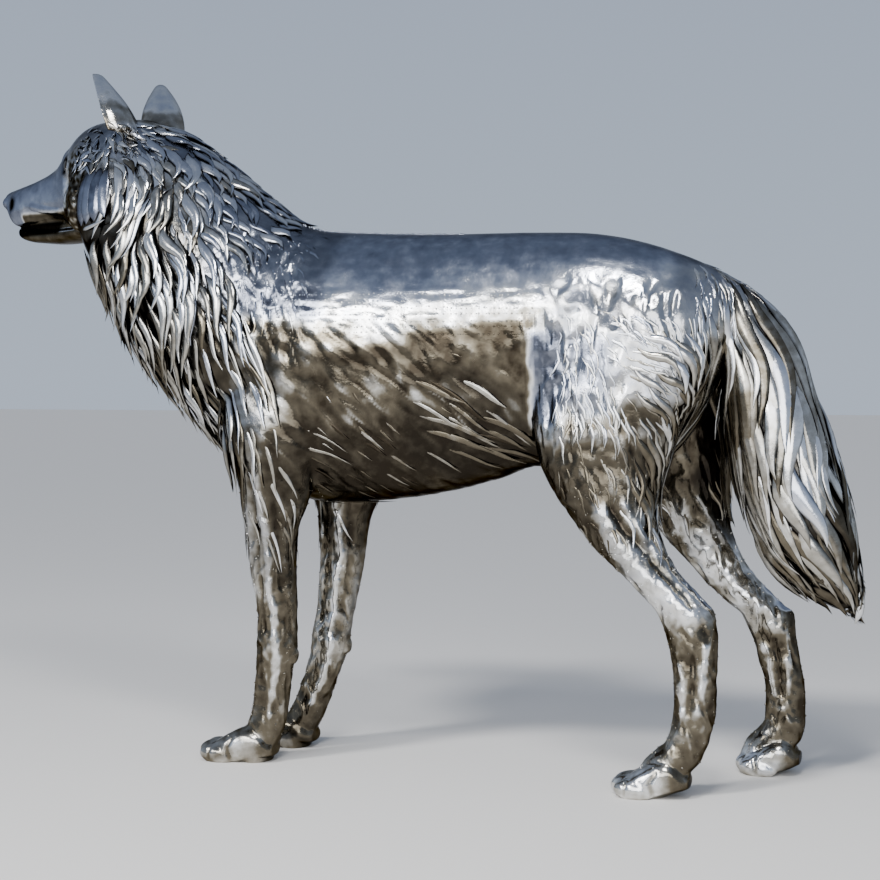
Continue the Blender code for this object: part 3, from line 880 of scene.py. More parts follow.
    def shade(self, places: Array, tone: Array) -> None:
        """Paint shade into the hollow between muzzle and cheek, flecked with random dark tones, in
        place.

        Args:
            places: the skin's vertices.
            tone: their tones, which are changed.
        """
        ahead, aside, height = self.spots(places)
        middle, level, length, tall, dark = self.hollow
        solid, slope = self.hollow_edge
        apart = np.hypot((ahead - middle) / length, (height - level) / tall)
        weight = np.clip(solid - slope * apart, 0.0, 1.0) * (np.abs(aside) > self.midline[0])
        chosen = np.nonzero(weight > 0.0)[0]
        pitch, strength = self.flecks
        fleck = np.array([noise.noise(Vector(place) * pitch) for place in places[chosen].tolist()])
        tone[chosen] += (dark + strength * fleck - tone[chosen]) * weight[chosen]

    def painted_shade(self, places: Array) -> Array:
        """Painted shade in the eyes, the nostrils and the mouth.

        Args:
            places: the skin's vertices.

        Returns:
            One number for each place.
        """
        ahead, aside, height = self.spots(places)
        spot_ahead, spot_aside, level, reach = self.nostril
        solid, slope = self.nostril_edge
        apart = np.stack((ahead - spot_ahead, np.abs(aside) - spot_aside, height - level))
        painted_shade = np.clip(solid - slope * np.linalg.norm(apart, axis=0) / reach, 0.0, 1.0)
        start, end, low, high = self.mouth
        along, up, bias = self.mouth_edge
        inner = np.minimum(np.minimum(ahead - start, end - ahead) / along,
                           np.minimum(height - low, high - height) / up)
        mouth = np.clip(inner + bias, 0.0, 1.0) * (np.abs(aside) > self.midline[1])
        painted_shade = np.maximum(painted_shade, mouth)
        dark, reach, slim = self.eye_painted_shade
        solid, slope = self.eye_edge
        leaning = 1.0 + self.eye[2] ** 2
        for place, _ in self.eyes_found:
            apart = places - np.array(place)
            lean = apart[:, 2] + self.eye[2] * (apart @ np.array(self.frame.ahead))
            cross = np.linalg.norm(apart, axis=1) ** 2 - lean ** 2 / leaning
            far = np.sqrt(lean ** 2 / leaning / slim + np.maximum(cross, 0.0))
            painted_shade = np.maximum(painted_shade, dark * np.clip(solid - slope * far / reach, 0.0, 1.0))
        return painted_shade

    def press(self, places: Array, normals: Array) -> None:
        """Press the hollows and creases of the face into its skin, in place.

        Args:
            places: the skin's vertices, which are moved.
            normals: their normals.
        """
        ahead, aside, height = self.spots(places)
        shift = np.zeros(len(places))
        face = (ahead > self.face) & (np.abs(aside) > self.midline[0])
        for crease in self.creases:
            shift += crease.rise(np.stack((ahead, height), axis=1)) * face
        for spot_ahead, spot_aside, level, reach, depth in self.presses:
            apart = np.stack((ahead - spot_ahead, np.abs(aside) - spot_aside, height - level))
            apart = np.linalg.norm(apart, axis=0) / reach
            shift -= depth * np.clip(1.0 - apart ** 2, 0.0, 1.0) ** 2
        reach, depth, lids = self.socket
        where, breadth = self.lids
        for place, _ in self.eyes_found:
            apart = np.linalg.norm(places - np.array(place), axis=1) / reach
            shift -= depth * np.clip(1.0 - apart ** 2, 0.0, 1.0) ** 2
            shift += lids * np.exp(-((apart - where) / breadth) ** 2)
        places += normals * shift[:, None]


# ---- painted light tone and relief of the skin ----
NEAR, FAR, BOTH = (-1.0, 0.0), (0.0, 1.0), (-1.0, 1.0)  # lowest and highest y of a side


@dataclass(frozen=True)
class PaintedLightBox:
    """A box of the skin that takes a tone of its own, painted light: some boxes are painted
    reflections, some painted highlights, some painted shade.
    """

    low: Row  # lowest x and z
    high: Row  # highest x and z
    tone: float
    share: float = 0.8  # how much of the tone it takes
    fade: float = 0.12  # width of the soft border
    across: Row = BOTH  # lowest and highest y
    ragged: float = 4.0  # how much the clouds fray its border

    def over(self, tone: Array, places: Array, drift: Array) -> Array:
        """Lay the painted light box over the tones of many places.

        Args:
            tone: their tones.
            places: one row for each place.
            drift: the clouds at each place.

        Returns:
            The new tones.
        """
        low = (self.low[0], self.across[0], self.low[1])
        high = (self.high[0], self.across[1], self.high[1])
        inner = np.minimum(places - np.array(low), np.array(high) - places).min(axis=1)
        weight = np.clip(inner / self.fade + self.ragged * drift, 0.0, 1.0)
        weight *= inner > -self.fade
        return tone + (self.tone + drift - tone) * weight * self.share


@dataclass(frozen=True)
class PaintedLightTone:
    """Painted light tone of the steel: from 0, a painted reflection of dark blue sky on its upper
    faces, through 0.5, a painted white highlight, to 1, a painted reflection of dark brown ground
    on its belly.
    """

    lie: tuple[Row, ...] = (  # upward lie of the face, tone; painted reflection, sky on faces that look up and ground on faces that look down
        (-0.6, 1.0), (-0.2, 0.94), (0.0, 0.86), (0.06, 0.68), (0.1, 0.53), (0.27, 0.46),
        (0.37, 0.32), (0.47, 0.22), (0.62, 0.16),
    )
    top: Row = (0.4, 0.6)  # lies between which the painted light boxes give way to the top's own painted tone
    rump: tuple[Row, ...] = (  # x, how much steeper the top's tone starts
        (0.35, 0.0), (0.55, 0.14), (1.05, 0.18),
    )
    stern: Row = (0.12, 0.2, 0.98)  # painted shade on faces that look to the tail: how much darker they are, from what lie to the back, past x
    # painted reflections, highlights and shadows, laid box by box
    light_boxes: tuple[PaintedLightBox, ...] = (
        PaintedLightBox((0.4, 1.27), (1.1, 1.95), 0.38, 0.9), PaintedLightBox((-0.86, 1.3), (-0.36, 1.72), 0.7, 0.8),
        PaintedLightBox((-0.95, 1.7), (-0.5, 2.1), 0.22, 0.85),
        PaintedLightBox((0.5, 1.28), (0.76, 1.68), 0.06, 0.85, 0.08, NEAR),
        PaintedLightBox((-0.4, 1.3), (0.4, 1.6), 0.86, 0.8, 0.04, NEAR),
        PaintedLightBox((-0.44, 1.24), (0.46, 1.62), 0.8, 0.7, 0.14, FAR),
        PaintedLightBox((-0.4, 1.53), (0.4, 1.62), 0.97, 0.9, 0.03, NEAR),
        PaintedLightBox((-0.04, 1.54), (0.4, 1.662), 0.97, 0.9, 0.03, NEAR),
        PaintedLightBox((0.2, 1.48), (0.41, 1.694), 1.0, 0.95, 0.03, NEAR),
        PaintedLightBox((0.405, 1.29), (0.56, 1.67), 0.02, 1.0, 0.03, NEAR),
        PaintedLightBox((0.5, 1.2), (0.82, 1.345), 0.76, 0.8, 0.05),
        PaintedLightBox((0.76, 1.08), (1.1, 1.42), 0.93, 0.85, 0.06),
        PaintedLightBox((-0.2, 1.39), (-0.06, 1.5), 0.6, 0.7, 0.05),
        PaintedLightBox((0.12, 1.38), (0.26, 1.46), 0.66, 0.6, 0.05),
        PaintedLightBox((-0.06, 1.41), (0.1, 1.55), 1.0, 0.95, 0.03),
        PaintedLightBox((-0.54, 1.28), (-0.42, 1.44), 0.84, 0.8, 0.05),
        PaintedLightBox((-1.6, 1.2), (-0.8, 2.4), 0.62, 0.8),
        PaintedLightBox((-1.5, 1.72), (-1.15, 1.97), 0.92, 0.85, 0.06),
        PaintedLightBox((-1.13, 1.4), (-0.94, 1.82), 0.92, 0.85, 0.06),
        PaintedLightBox((-1.26, 2.01), (-1.12, 2.12), 0.92, 0.85, 0.04),
        PaintedLightBox((-0.92, 1.67), (-0.74, 1.81), 0.48, 0.7, 0.05),
        PaintedLightBox((-1.19, 2.13), (-1.05, 2.28), 0.5, 0.75, 0.04),
        PaintedLightBox((-1.11, 1.91), (-0.95, 2.05), 0.5, 0.7, 0.05), PaintedLightBox((1.12, 0.6), (1.7, 1.8), 0.6),
        PaintedLightBox((1.1, 1.36), (1.6, 1.9), 0.5, 0.85, 0.05),
        PaintedLightBox((1.08, 0.98), (1.23, 1.46), 0.93, 0.9, 0.05),
        PaintedLightBox((1.2, 0.98), (1.34, 1.18), 0.78, 0.8, 0.06),
        PaintedLightBox((1.34, 1.06), (1.46, 1.26), 0.66, 0.7, 0.05),
        PaintedLightBox((-1.2, -0.5), (-0.3, 1.14), 0.86, 0.9), PaintedLightBox((0.5, -0.5), (1.6, 1.1), 0.83, 0.9),
        PaintedLightBox((-0.8, 0.84), (-0.1, 1.3), 0.98, 0.9, 0.06, (0.04, 1.0)),
        PaintedLightBox((0.8, 1.0), (1.4, 1.7), 1.0, 1.0, 0.06, FAR),
        PaintedLightBox((-2.2, 2.148), (-1.45, 2.45), 0.13, 0.95, 0.03),
        PaintedLightBox((-2.2, 2.0), (-1.45, 2.164), 0.92, 0.95, 0.02),
        PaintedLightBox((-2.2, 2.106), (-1.9, 2.3), 0.13, 0.95, 0.02),
        PaintedLightBox((0.5, 0.98), (1.0, 1.4), 0.8, 0.7),
        PaintedLightBox((-0.62, 0.3), (-0.34, 0.84), 0.58, 0.6, 0.06, (0.02, 1.0)),
        PaintedLightBox((-0.74, 0.6), (-0.58, 1.24), 0.56, 0.75, 0.05, NEAR),
        PaintedLightBox((-0.71, 0.1), (-0.56, 0.52), 0.92, 0.7, 0.04, NEAR),
        PaintedLightBox((0.9, 0.7), (1.2, 0.96), 0.5, 0.85, 0.06, FAR),
        PaintedLightBox((1.04, 0.52), (1.3, 0.74), 0.52, 0.7, 0.05, FAR),
        PaintedLightBox((0.74, 0.6), (1.12, 0.94), 0.5, 0.95, 0.06, NEAR),
        PaintedLightBox((0.55, -0.05), (0.98, 0.16), 0.5, 0.85, 0.06),
        PaintedLightBox((0.98, -0.05), (1.32, 0.14), 0.46, 0.7, 0.05, FAR),
        PaintedLightBox((-1.05, -0.05), (-0.62, 0.15), 0.64, 0.8, 0.05),
    )
    late: tuple[PaintedLightBox, ...] = (  # painted light boxes laid over the top's own tone
        PaintedLightBox((-1.6, 2.49), (-1.0, 2.8), 0.48, 0.9, 0.03),
        PaintedLightBox((-1.42, 2.46), (-1.08, 2.575), 0.72, 0.8, 0.03),
        PaintedLightBox((-1.62, 2.35), (-1.28, 2.5), 0.36, 0.8, 0.05),
        PaintedLightBox((0.7, 1.6), (1.04, 1.8), 0.5, 0.8, 0.06),
        PaintedLightBox((0.86, 1.62), (1.34, 1.93), 0.44, 0.85, 0.04),
        PaintedLightBox((-0.76, 1.67), (-0.34, 1.86), 0.05, 0.9, 0.06),
        PaintedLightBox((-0.6, 1.56), (-0.24, 1.69), 0.84, 0.85, 0.05),
        PaintedLightBox((1.08, 1.6), (1.34, 1.82), 0.5, 0.9, 0.05),
        PaintedLightBox((1.26, 1.4), (1.42, 1.62), 0.48, 0.7, 0.05),
    )
    ankle: float = 0.22  # below it the top's own tone doesn't show
    clouds: tuple[Row, ...] = ((3.5, 0.1), (11.0, 0.08), (30.0, 0.05))  # pitch, strength

    def tones(self, places: Array, normals: Array) -> Array:
        """Work out the painted light tone at many places of the smooth skin.

        Args:
            places: one row for each place.
            normals: the skin's normals there.

        Returns:
            One tone for each place.
        """
        drift = np.zeros(len(places))
        for pitch, strength in self.clouds:
            drift += strength * np.array([noise.noise(Vector(place) * pitch)
                                          for place in places.tolist()])
        rise = normals[:, 2] + drift
        own_tones = np.array(self.lie)
        own = np.interp(rise, own_tones[:, 0], own_tones[:, 1])
        tone = own.copy()
        for light_box in self.light_boxes:
            tone = light_box.over(tone, places, drift)
        darker, lie, start = self.stern
        tone += darker * np.clip(normals[:, 0] - lie, 0.0, 1.0) * (places[:, 0] > start)
        rump = np.array(self.rump)
        steep = rise - np.interp(places[:, 0], rump[:, 0], rump[:, 1])
        weight = np.clip((steep - self.top[0]) / (self.top[1] - self.top[0]), 0.0, 1.0)
        tone += (own - tone) * weight * (places[:, 2] > self.ankle)
        for light_box in self.late:
            tone = light_box.over(tone, places, drift)
        return np.clip(tone, 0.0, 1.0)


def write_floats(item: Item, name: str, values: Array) -> None:
    """Store one number at each vertex under a name."""
    layer = item.data.attributes.new(name, "FLOAT", "POINT")
    layer.data.foreach_set("value", values.astype(np.float32))


@dataclass(frozen=True)
class Patch:
    """Hammer marks or flutes inside one box of the skin."""

    low: Row  # lowest x and z
    high: Row  # highest x and z
    pitch: Row  # size of the marks across, through and along their lie
    depth: float
    slant: float = 0.0  # degrees that the marks lean towards the tail
    fade: float = 0.1  # width of the soft border
    ridged: bool = False  # True for sharp crests
    warp: float = 0.0  # how far the marks waver
    waver: float = 0.8  # pitch of that
    crest: Row = (1.2, 4.0, 0.006)  # height and steepness of the sharp crests, and their bluntness

    def rise(self, places: Array) -> Array:
        """Height of the marks at many places.

        Args:
            places: one row for each place.

        Returns:
            One height for each place.
        """
        flat = places[:, (0, 2)]
        inner = np.minimum(flat - np.array(self.low), np.array(self.high) - flat).min(axis=1)
        share = np.clip(inner / self.fade, 0.0, 1.0)
        chosen = np.nonzero(share > 0.0)[0]
        turn = math.radians(self.slant)
        across = np.array((math.cos(turn), 0.0, math.sin(turn))) / self.pitch[0]
        along = np.array((-math.sin(turn), 0.0, math.cos(turn))) / self.pitch[2]
        spot = places[chosen]
        coords = np.stack((spot @ across, spot[:, 1] / self.pitch[1], spot @ along), axis=1)
        if self.warp:
            shift = [noise.noise(Vector(coord) * self.waver) for coord in coords.tolist()]
            coords[:, 0] += self.warp * np.array(shift)
        marks = np.array([noise.noise(Vector(coord)) for coord in coords.tolist()])
        if self.ridged:
            height, slope, blunt = self.crest
            marks = height - slope * np.sqrt(marks ** 2 + blunt)
        soft = share[chosen] ** 2 * (3.0 - 2.0 * share[chosen])
        heights = np.zeros(len(places))
        heights[chosen] = marks * soft * self.depth
        return heights


@dataclass(frozen=True)
class Plane:
    """A cutting plane; what lies on the side of its normal goes."""

    place: Row
    normal: Row

    @property
    def back(self) -> "Plane":
        """The same plane, which keeps the other side."""
        return Plane(self.place, tuple(-part for part in self.normal))

    def cut(self, item: Item, margin: float = 0.0) -> None:
        """Cut an object and cap the cut.

        Args:
            item: the object to cut.
            margin: how far past the plane to cut.
        """
        bm = bmesh.new()
        bm.from_mesh(item.data)
        place, normal = Vector(self.place), Vector(self.normal)
        bmesh.ops.bisect_plane(bm, geom=bm.verts[:] + bm.edges[:] + bm.faces[:], dist=MERGE,
                               plane_co=place + normal * margin, plane_no=normal, clear_outer=True)
        bmesh.ops.holes_fill(bm, edges=[edge for edge in bm.edges if edge.is_boundary])
        bm.to_mesh(item.data)
        bm.free()


@dataclass
class Skin:
    """The welded skin, in pieces that meet at borders hidden by the coat or square to a leg."""

    head: Head
    trunk: Trunk
    tail: Tail
    legs: list[Leg]
    paws: list[Paw]
    painted_light_tone: PaintedLightTone = PaintedLightTone()
    nape: Plane = Plane((-1.09, 0.0, 2.448), (-0.819, 0.0, 0.573))  # between head and neck
    collar: Plane = Plane((-0.9, 0.0, 0.0), (-1.0, 0.0, 0.0))  # between neck and body
    knee: Plane = Plane((0.0, 0.0, 0.86), (0.0, 0.0, -1.0))  # between body and lower legs
    ground: Plane = Plane((0.0, 0.0, 0.0), (0.0, 0.0, -1.0))
    dock: Plane = Plane((0.0, 0.0, 1.6), (0.0, 0.0, -1.0))  # between body and tail
    margin: float = 0.05  # past a border that the forms are cut at before they are welded
    dock_margin: float = 0.12  # the same inside the root of the tail
    crest: float = 0.006  # height at which the relief takes its full painted highlight
    crest_highlight: float = 0.85  # painted highlight: how far the crests are pulled to the brightest tone
    hollows: float = 0.16  # painted shade: how much darker its hollows are
    extremes: Row = (0.02, 0.1)  # how near 0 or 1 a tone resists the painted highlight
    level_share: float = 0.45  # relief on faces that look up, down, ahead or back
    patches: tuple[Patch, ...] = (
        Patch((-2.0, -1.0), (2.0, 3.0), (0.085, 0.085, 0.085), 0.0012),
        Patch((-0.8, 0.95), (0.46, 1.74), (0.03, 0.08, 0.13), 0.005, 46.0, warp=0.8),
        Patch((-0.3, 1.2), (0.38, 1.56), (0.034, 0.08, 0.15), 0.004, 48.0, warp=0.8, ridged=True),
        Patch((-0.8, 1.1), (0.46, 1.74), (0.11, 0.11, 0.11), 0.006),
        Patch((0.36, 1.2), (1.06, 1.54), (0.042, 0.12, 0.16), 0.005, 6.0, warp=1.2, ridged=True),
        Patch((0.4, 0.84), (1.1, 1.32), (0.028, 0.06, 0.09), 0.0032, 14.0, warp=1.0, ridged=True),
        Patch((0.44, 1.46), (1.12, 1.88), (0.036, 0.08, 0.11), 0.0048, 6.0, warp=1.2, ridged=True),
        Patch((0.36, 1.1), (1.1, 1.96), (0.15, 0.15, 0.15), 0.005),
        Patch((0.6, 0.8), (1.2, 1.3), (0.018, 0.05, 0.08), 0.0028, 20.0, warp=1.0),
        Patch((0.38, 1.24), (0.64, 1.72), (0.022, 0.12, 0.2), 0.0038, 4.0, fade=0.03, warp=1.0,
              ridged=True),
        Patch((-1.62, 2.08), (-1.34, 2.4), (0.02, 0.02, 0.026), 0.0045, warp=0.6),
        Patch((-0.98, 1.5), (-0.4, 2.08), (0.024, 0.05, 0.11), 0.0045, 20.0, warp=1.0, ridged=True),
        Patch((-0.95, 0.85), (-0.45, 1.8), (0.036, 0.12, 0.18), 0.005, 20.0, warp=0.6),
        Patch((-0.8, 0.1), (-0.35, 1.06), (0.03, 0.04, 0.09), 0.0036, 2.0, warp=1.0, ridged=True),
        Patch((0.6, 0.1), (1.4, 1.0), (0.036, 0.05, 0.13), 0.0034, 14.0, warp=1.0, ridged=True),
        Patch((-0.8, 0.1), (1.4, 1.0), (0.02, 0.02, 0.024), 0.003),
        Patch((0.6, -0.2), (1.6, 0.16), (0.03, 0.03, 0.03), 0.0026),
        Patch((-1.1, -0.2), (-0.3, 0.16), (0.03, 0.03, 0.03), 0.0026),
        Patch((-0.56, 1.62), (0.44, 1.9), (0.06, 0.06, 0.022), 0.0022, warp=0.5),
    )

    def weld(self, name: str, forms: list[Item], borders: Sequence[Plane],
             grain: float, smoothing: int) -> Item:
        """Weld forms into one piece of skin between its borders.

        Args:
            name: name of the piece.
            forms: closed forms that overlap.
            borders: planes that bound the piece.
            grain: voxel size in metres.
            smoothing: rounds of smoothing.

        Returns:
            The piece, hammered, with its painted light tone.
        """
        kept = []
        for form in forms:
            for border in borders:
                border.cut(form, self.margin)
            if form.data.vertices:
                kept.append(form)
            else:
                bpy.data.objects.remove(form)
        piece = join(kept, name)
        fuse(piece, grain, smoothing)
        places, normals = read_places(piece), read_places(piece, "normal")
        flank = self.level_share + (1.0 - self.level_share) * np.abs(normals[:, 1])
        rise = sum(patch.rise(places) for patch in self.patches) * flank
        rise += sum(leg.rise(places, normals) for leg in self.legs)
        tone = self.painted_light_tone.tones(places, normals)
        # painted highlight on the crests of the relief and painted shade in its hollows
        relief_light = np.clip(rise / self.crest, -1.0, 1.0)
        past, fade = self.extremes
        pull = self.crest_highlight * np.clip(np.minimum(1.0 + past - tone, tone + past) / fade, 0.0, 1.0)
        tone += np.where(relief_light > 0.0, (BRIGHTEST - tone) * pull * relief_light ** 2, -self.hollows * relief_light)
        self.head.shade(places, tone)
        write_floats(piece, "tone", np.clip(tone, 0.0, 1.0))
        self.head.press(places, normals)
        write_places(piece, places + normals * rise[:, None])
        for border in borders:
            border.cut(piece)
        return piece

    def limbs(self) -> list[Item]:
        """Make the legs and paws."""
        return [form for limb in (*self.legs, *self.paws) for form in limb.build()]

    def build(self) -> list[Item]:
        """Build every piece of the skin.

        Returns:
            The pieces, the body first.
        """
        dock = self.tail.build()
        self.dock.cut(dock, self.dock_margin)
        body = self.weld("body", [self.trunk.build(), dock] + self.limbs(),
                         (self.collar, self.knee), grain=0.0094, smoothing=3)
        neck = self.weld("neck", [self.trunk.build()],
                         (self.nape, self.collar.back), grain=0.012, smoothing=3)
        head = self.weld("head", [self.trunk.build()] + self.head.build(),
                         (self.nape.back,), grain=0.0046, smoothing=5)
        legs = self.weld("lower_legs", self.limbs(),
                         (self.knee.back, self.ground), grain=0.0056, smoothing=4)
        brush = self.weld("tail_core", [self.tail.build()],
                          (self.dock.back,), grain=0.012, smoothing=2)
        return [body, neck, head, legs, brush]

    def build_whole(self) -> Item:
        """Build the whole skin coarse and smooth, to comb the coat on.

        Returns:
            The skin in one piece, which is removed later.
        """
        forms = [self.trunk.build(), self.tail.build()] + self.head.build() + self.limbs()
        whole = join(forms, "whole")
        fuse(whole, grain=0.011, smoothing=2)
        return whole


# ---- coat ----
@dataclass(frozen=True)
class Comb:
    """The lie of the fur: headings from straight down, towards the tail, seen from the side."""

    blend: float = 0.003
    teeth: tuple[Row, ...] = (  # x, z, degrees
        (-1.5, 2.42, 60), (-1.42, 2.42, 75), (-1.35, 2.4, 40), (-1.45, 2.36, 70), (-1.47, 2.28, 15),
        (-1.31, 2.3, 48), (-1.22, 2.21, 4), (-1.26, 2.13, -34), (-1.34, 2.14, -30),
        (-1.15, 2.24, 16), (-1.12, 2.18, -4), (-1.15, 2.1, -26), (-1.09, 2.3, 20),
        (-1.06, 2.18, -5), (-1.09, 2.1, -20), (-1.06, 2.4, 42), (-1.0, 2.3, 14), (-0.97, 2.13, 0),
        (-0.88, 2.2, 8), (-0.76, 2.22, 24), (-0.8, 2.05, 36), (-0.63, 2.08, 50), (-1.38, 2.04, -16),
        (-1.25, 2.0, -20), (-1.14, 2.02, 8), (-1.05, 1.98, 24), (-1.32, 1.83, -4), (-1.1, 1.9, 15),
        (-0.99, 1.95, 34), (-0.91, 2.0, 0), (-0.84, 1.92, 20), (-0.78, 1.74, 21), (-0.96, 1.59, 8),
        (-0.72, 1.45, 31), (-1.22, 1.51, 24), (-0.97, 1.28, 44), (-0.62, 1.18, 5),
        (-0.37, 1.25, 54), (-0.25, 1.47, 39), (0.17, 1.38, 61), (0.36, 1.33, 57), (0.49, 1.47, 0),
        (0.7, 1.4, 3), (0.77, 1.09, 25), (0.86, 1.55, 60), (0.93, 1.46, 40), (0.98, 1.36, 8),
        (1.13, 1.72, 10), (1.13, 1.4, -5), (1.27, 1.4, 3), (1.27, 1.7, 30), (1.41, 1.33, 20),
        (1.25, 1.05, 16), (1.24, 0.9, 34), (1.34, 0.82, 52), (1.46, 0.76, 46), (1.45, 0.96, 30),
        (1.54, 0.9, 10),
    )

    def headings(self, places: Array) -> Array:
        """Direction of the fur at many places, not yet laid on the skin.

        Args:
            places: one row for each place.

        Returns:
            One unit vector for each place.
        """
        teeth = np.array(self.teeth)
        apart = ((places[:, None, 0] - teeth[None, :, 0]) ** 2
                 + (places[:, None, 2] - teeth[None, :, 1]) ** 2 + self.blend)
        weight = 1.0 / apart ** 2
        angle = np.radians(teeth[:, 2])
        sweep = np.stack((weight @ np.sin(angle), np.zeros(len(places)),
                          -(weight @ np.cos(angle))), axis=1)
        return sweep / np.linalg.norm(sweep, axis=1)[:, None]

    def heading(self, place: Vector) -> Vector:
        """Direction of the fur at one place."""
        return Vector(self.headings(np.array([place]))[0])


class Region(Enum):
    """Which pieces a zone of locks is gathered into."""

    FACE = "face_locks"
    MANE = "mane_locks"
    CHEST = "chest_locks"
    BODY = "body_strips"
    HAUNCH = "haunch_locks"
    TAIL = "tail_locks"

    @property
    def flatness(self) -> float:
        """Thickness of a lock over its width."""
        return {Region.BODY: 0.34, Region.TAIL: 0.3, Region.FACE: 0.34}.get(self, 0.5)

    @property
    def edge_painted_shade(self) -> float:
        """Painted shade on a lock's edges."""
        return {Region.BODY: 0.6, Region.HAUNCH: 0.5, Region.TAIL: 0.85}.get(self, 0.9)


@dataclass(frozen=True)
class Zone:
    """A patch of the coat dressed with steel locks of one size."""

    region: Region
    low: Row  # lowest x and z of the roots
    high: Row  # highest x and z
    spacing: float  # between neighbours across the fur
    length: float
    width: float
    seed: int
    lift: float = 0.022  # how far the tips stand off
    sink: float = 0.004  # how far the roots are sunk
    free: float = 0.0  # share of the length that leaves the skin
    sway: float = 16.0  # degrees of the S bend
    stray: float = 10.0  # degrees off the comb
    stretch: float = 4.0  # spacing along the fur over spacing across it
    gloom: float = 0.8  # painted shade of the skin between the locks and at their roots
    bright: float = 0.45  # painted highlight: how far the locks' tone is pulled to the brightest
    taper: float = 2.0  # how late the tip narrows
    swell: float = 2.8  # how soon the root widens
    flank: Row = (0.0, 0.4)  # nearest to the middle plane and farthest from it


@dataclass(frozen=True)
class Blade:
    """A broad cheek blade, bent from one place of the head's side to another."""

    root: Row  # ahead, z
    bend: Row  # where it pulls to
    tip: Row
    width: float
    lift: float = 0.016
    # painted tone of the blade: low for a painted dark slate reflection, 0.5 for a painted white
    # highlight
    tone: float = 0.5
    taper: float = 2.6  # how late the tip narrows


@dataclass
class Lock:
    """One lock's points, from root to tip."""

    places: list[Vector]
    normals: list[Vector]
    girths: list[float]
    tone: float
    gloom: float
    bright: float


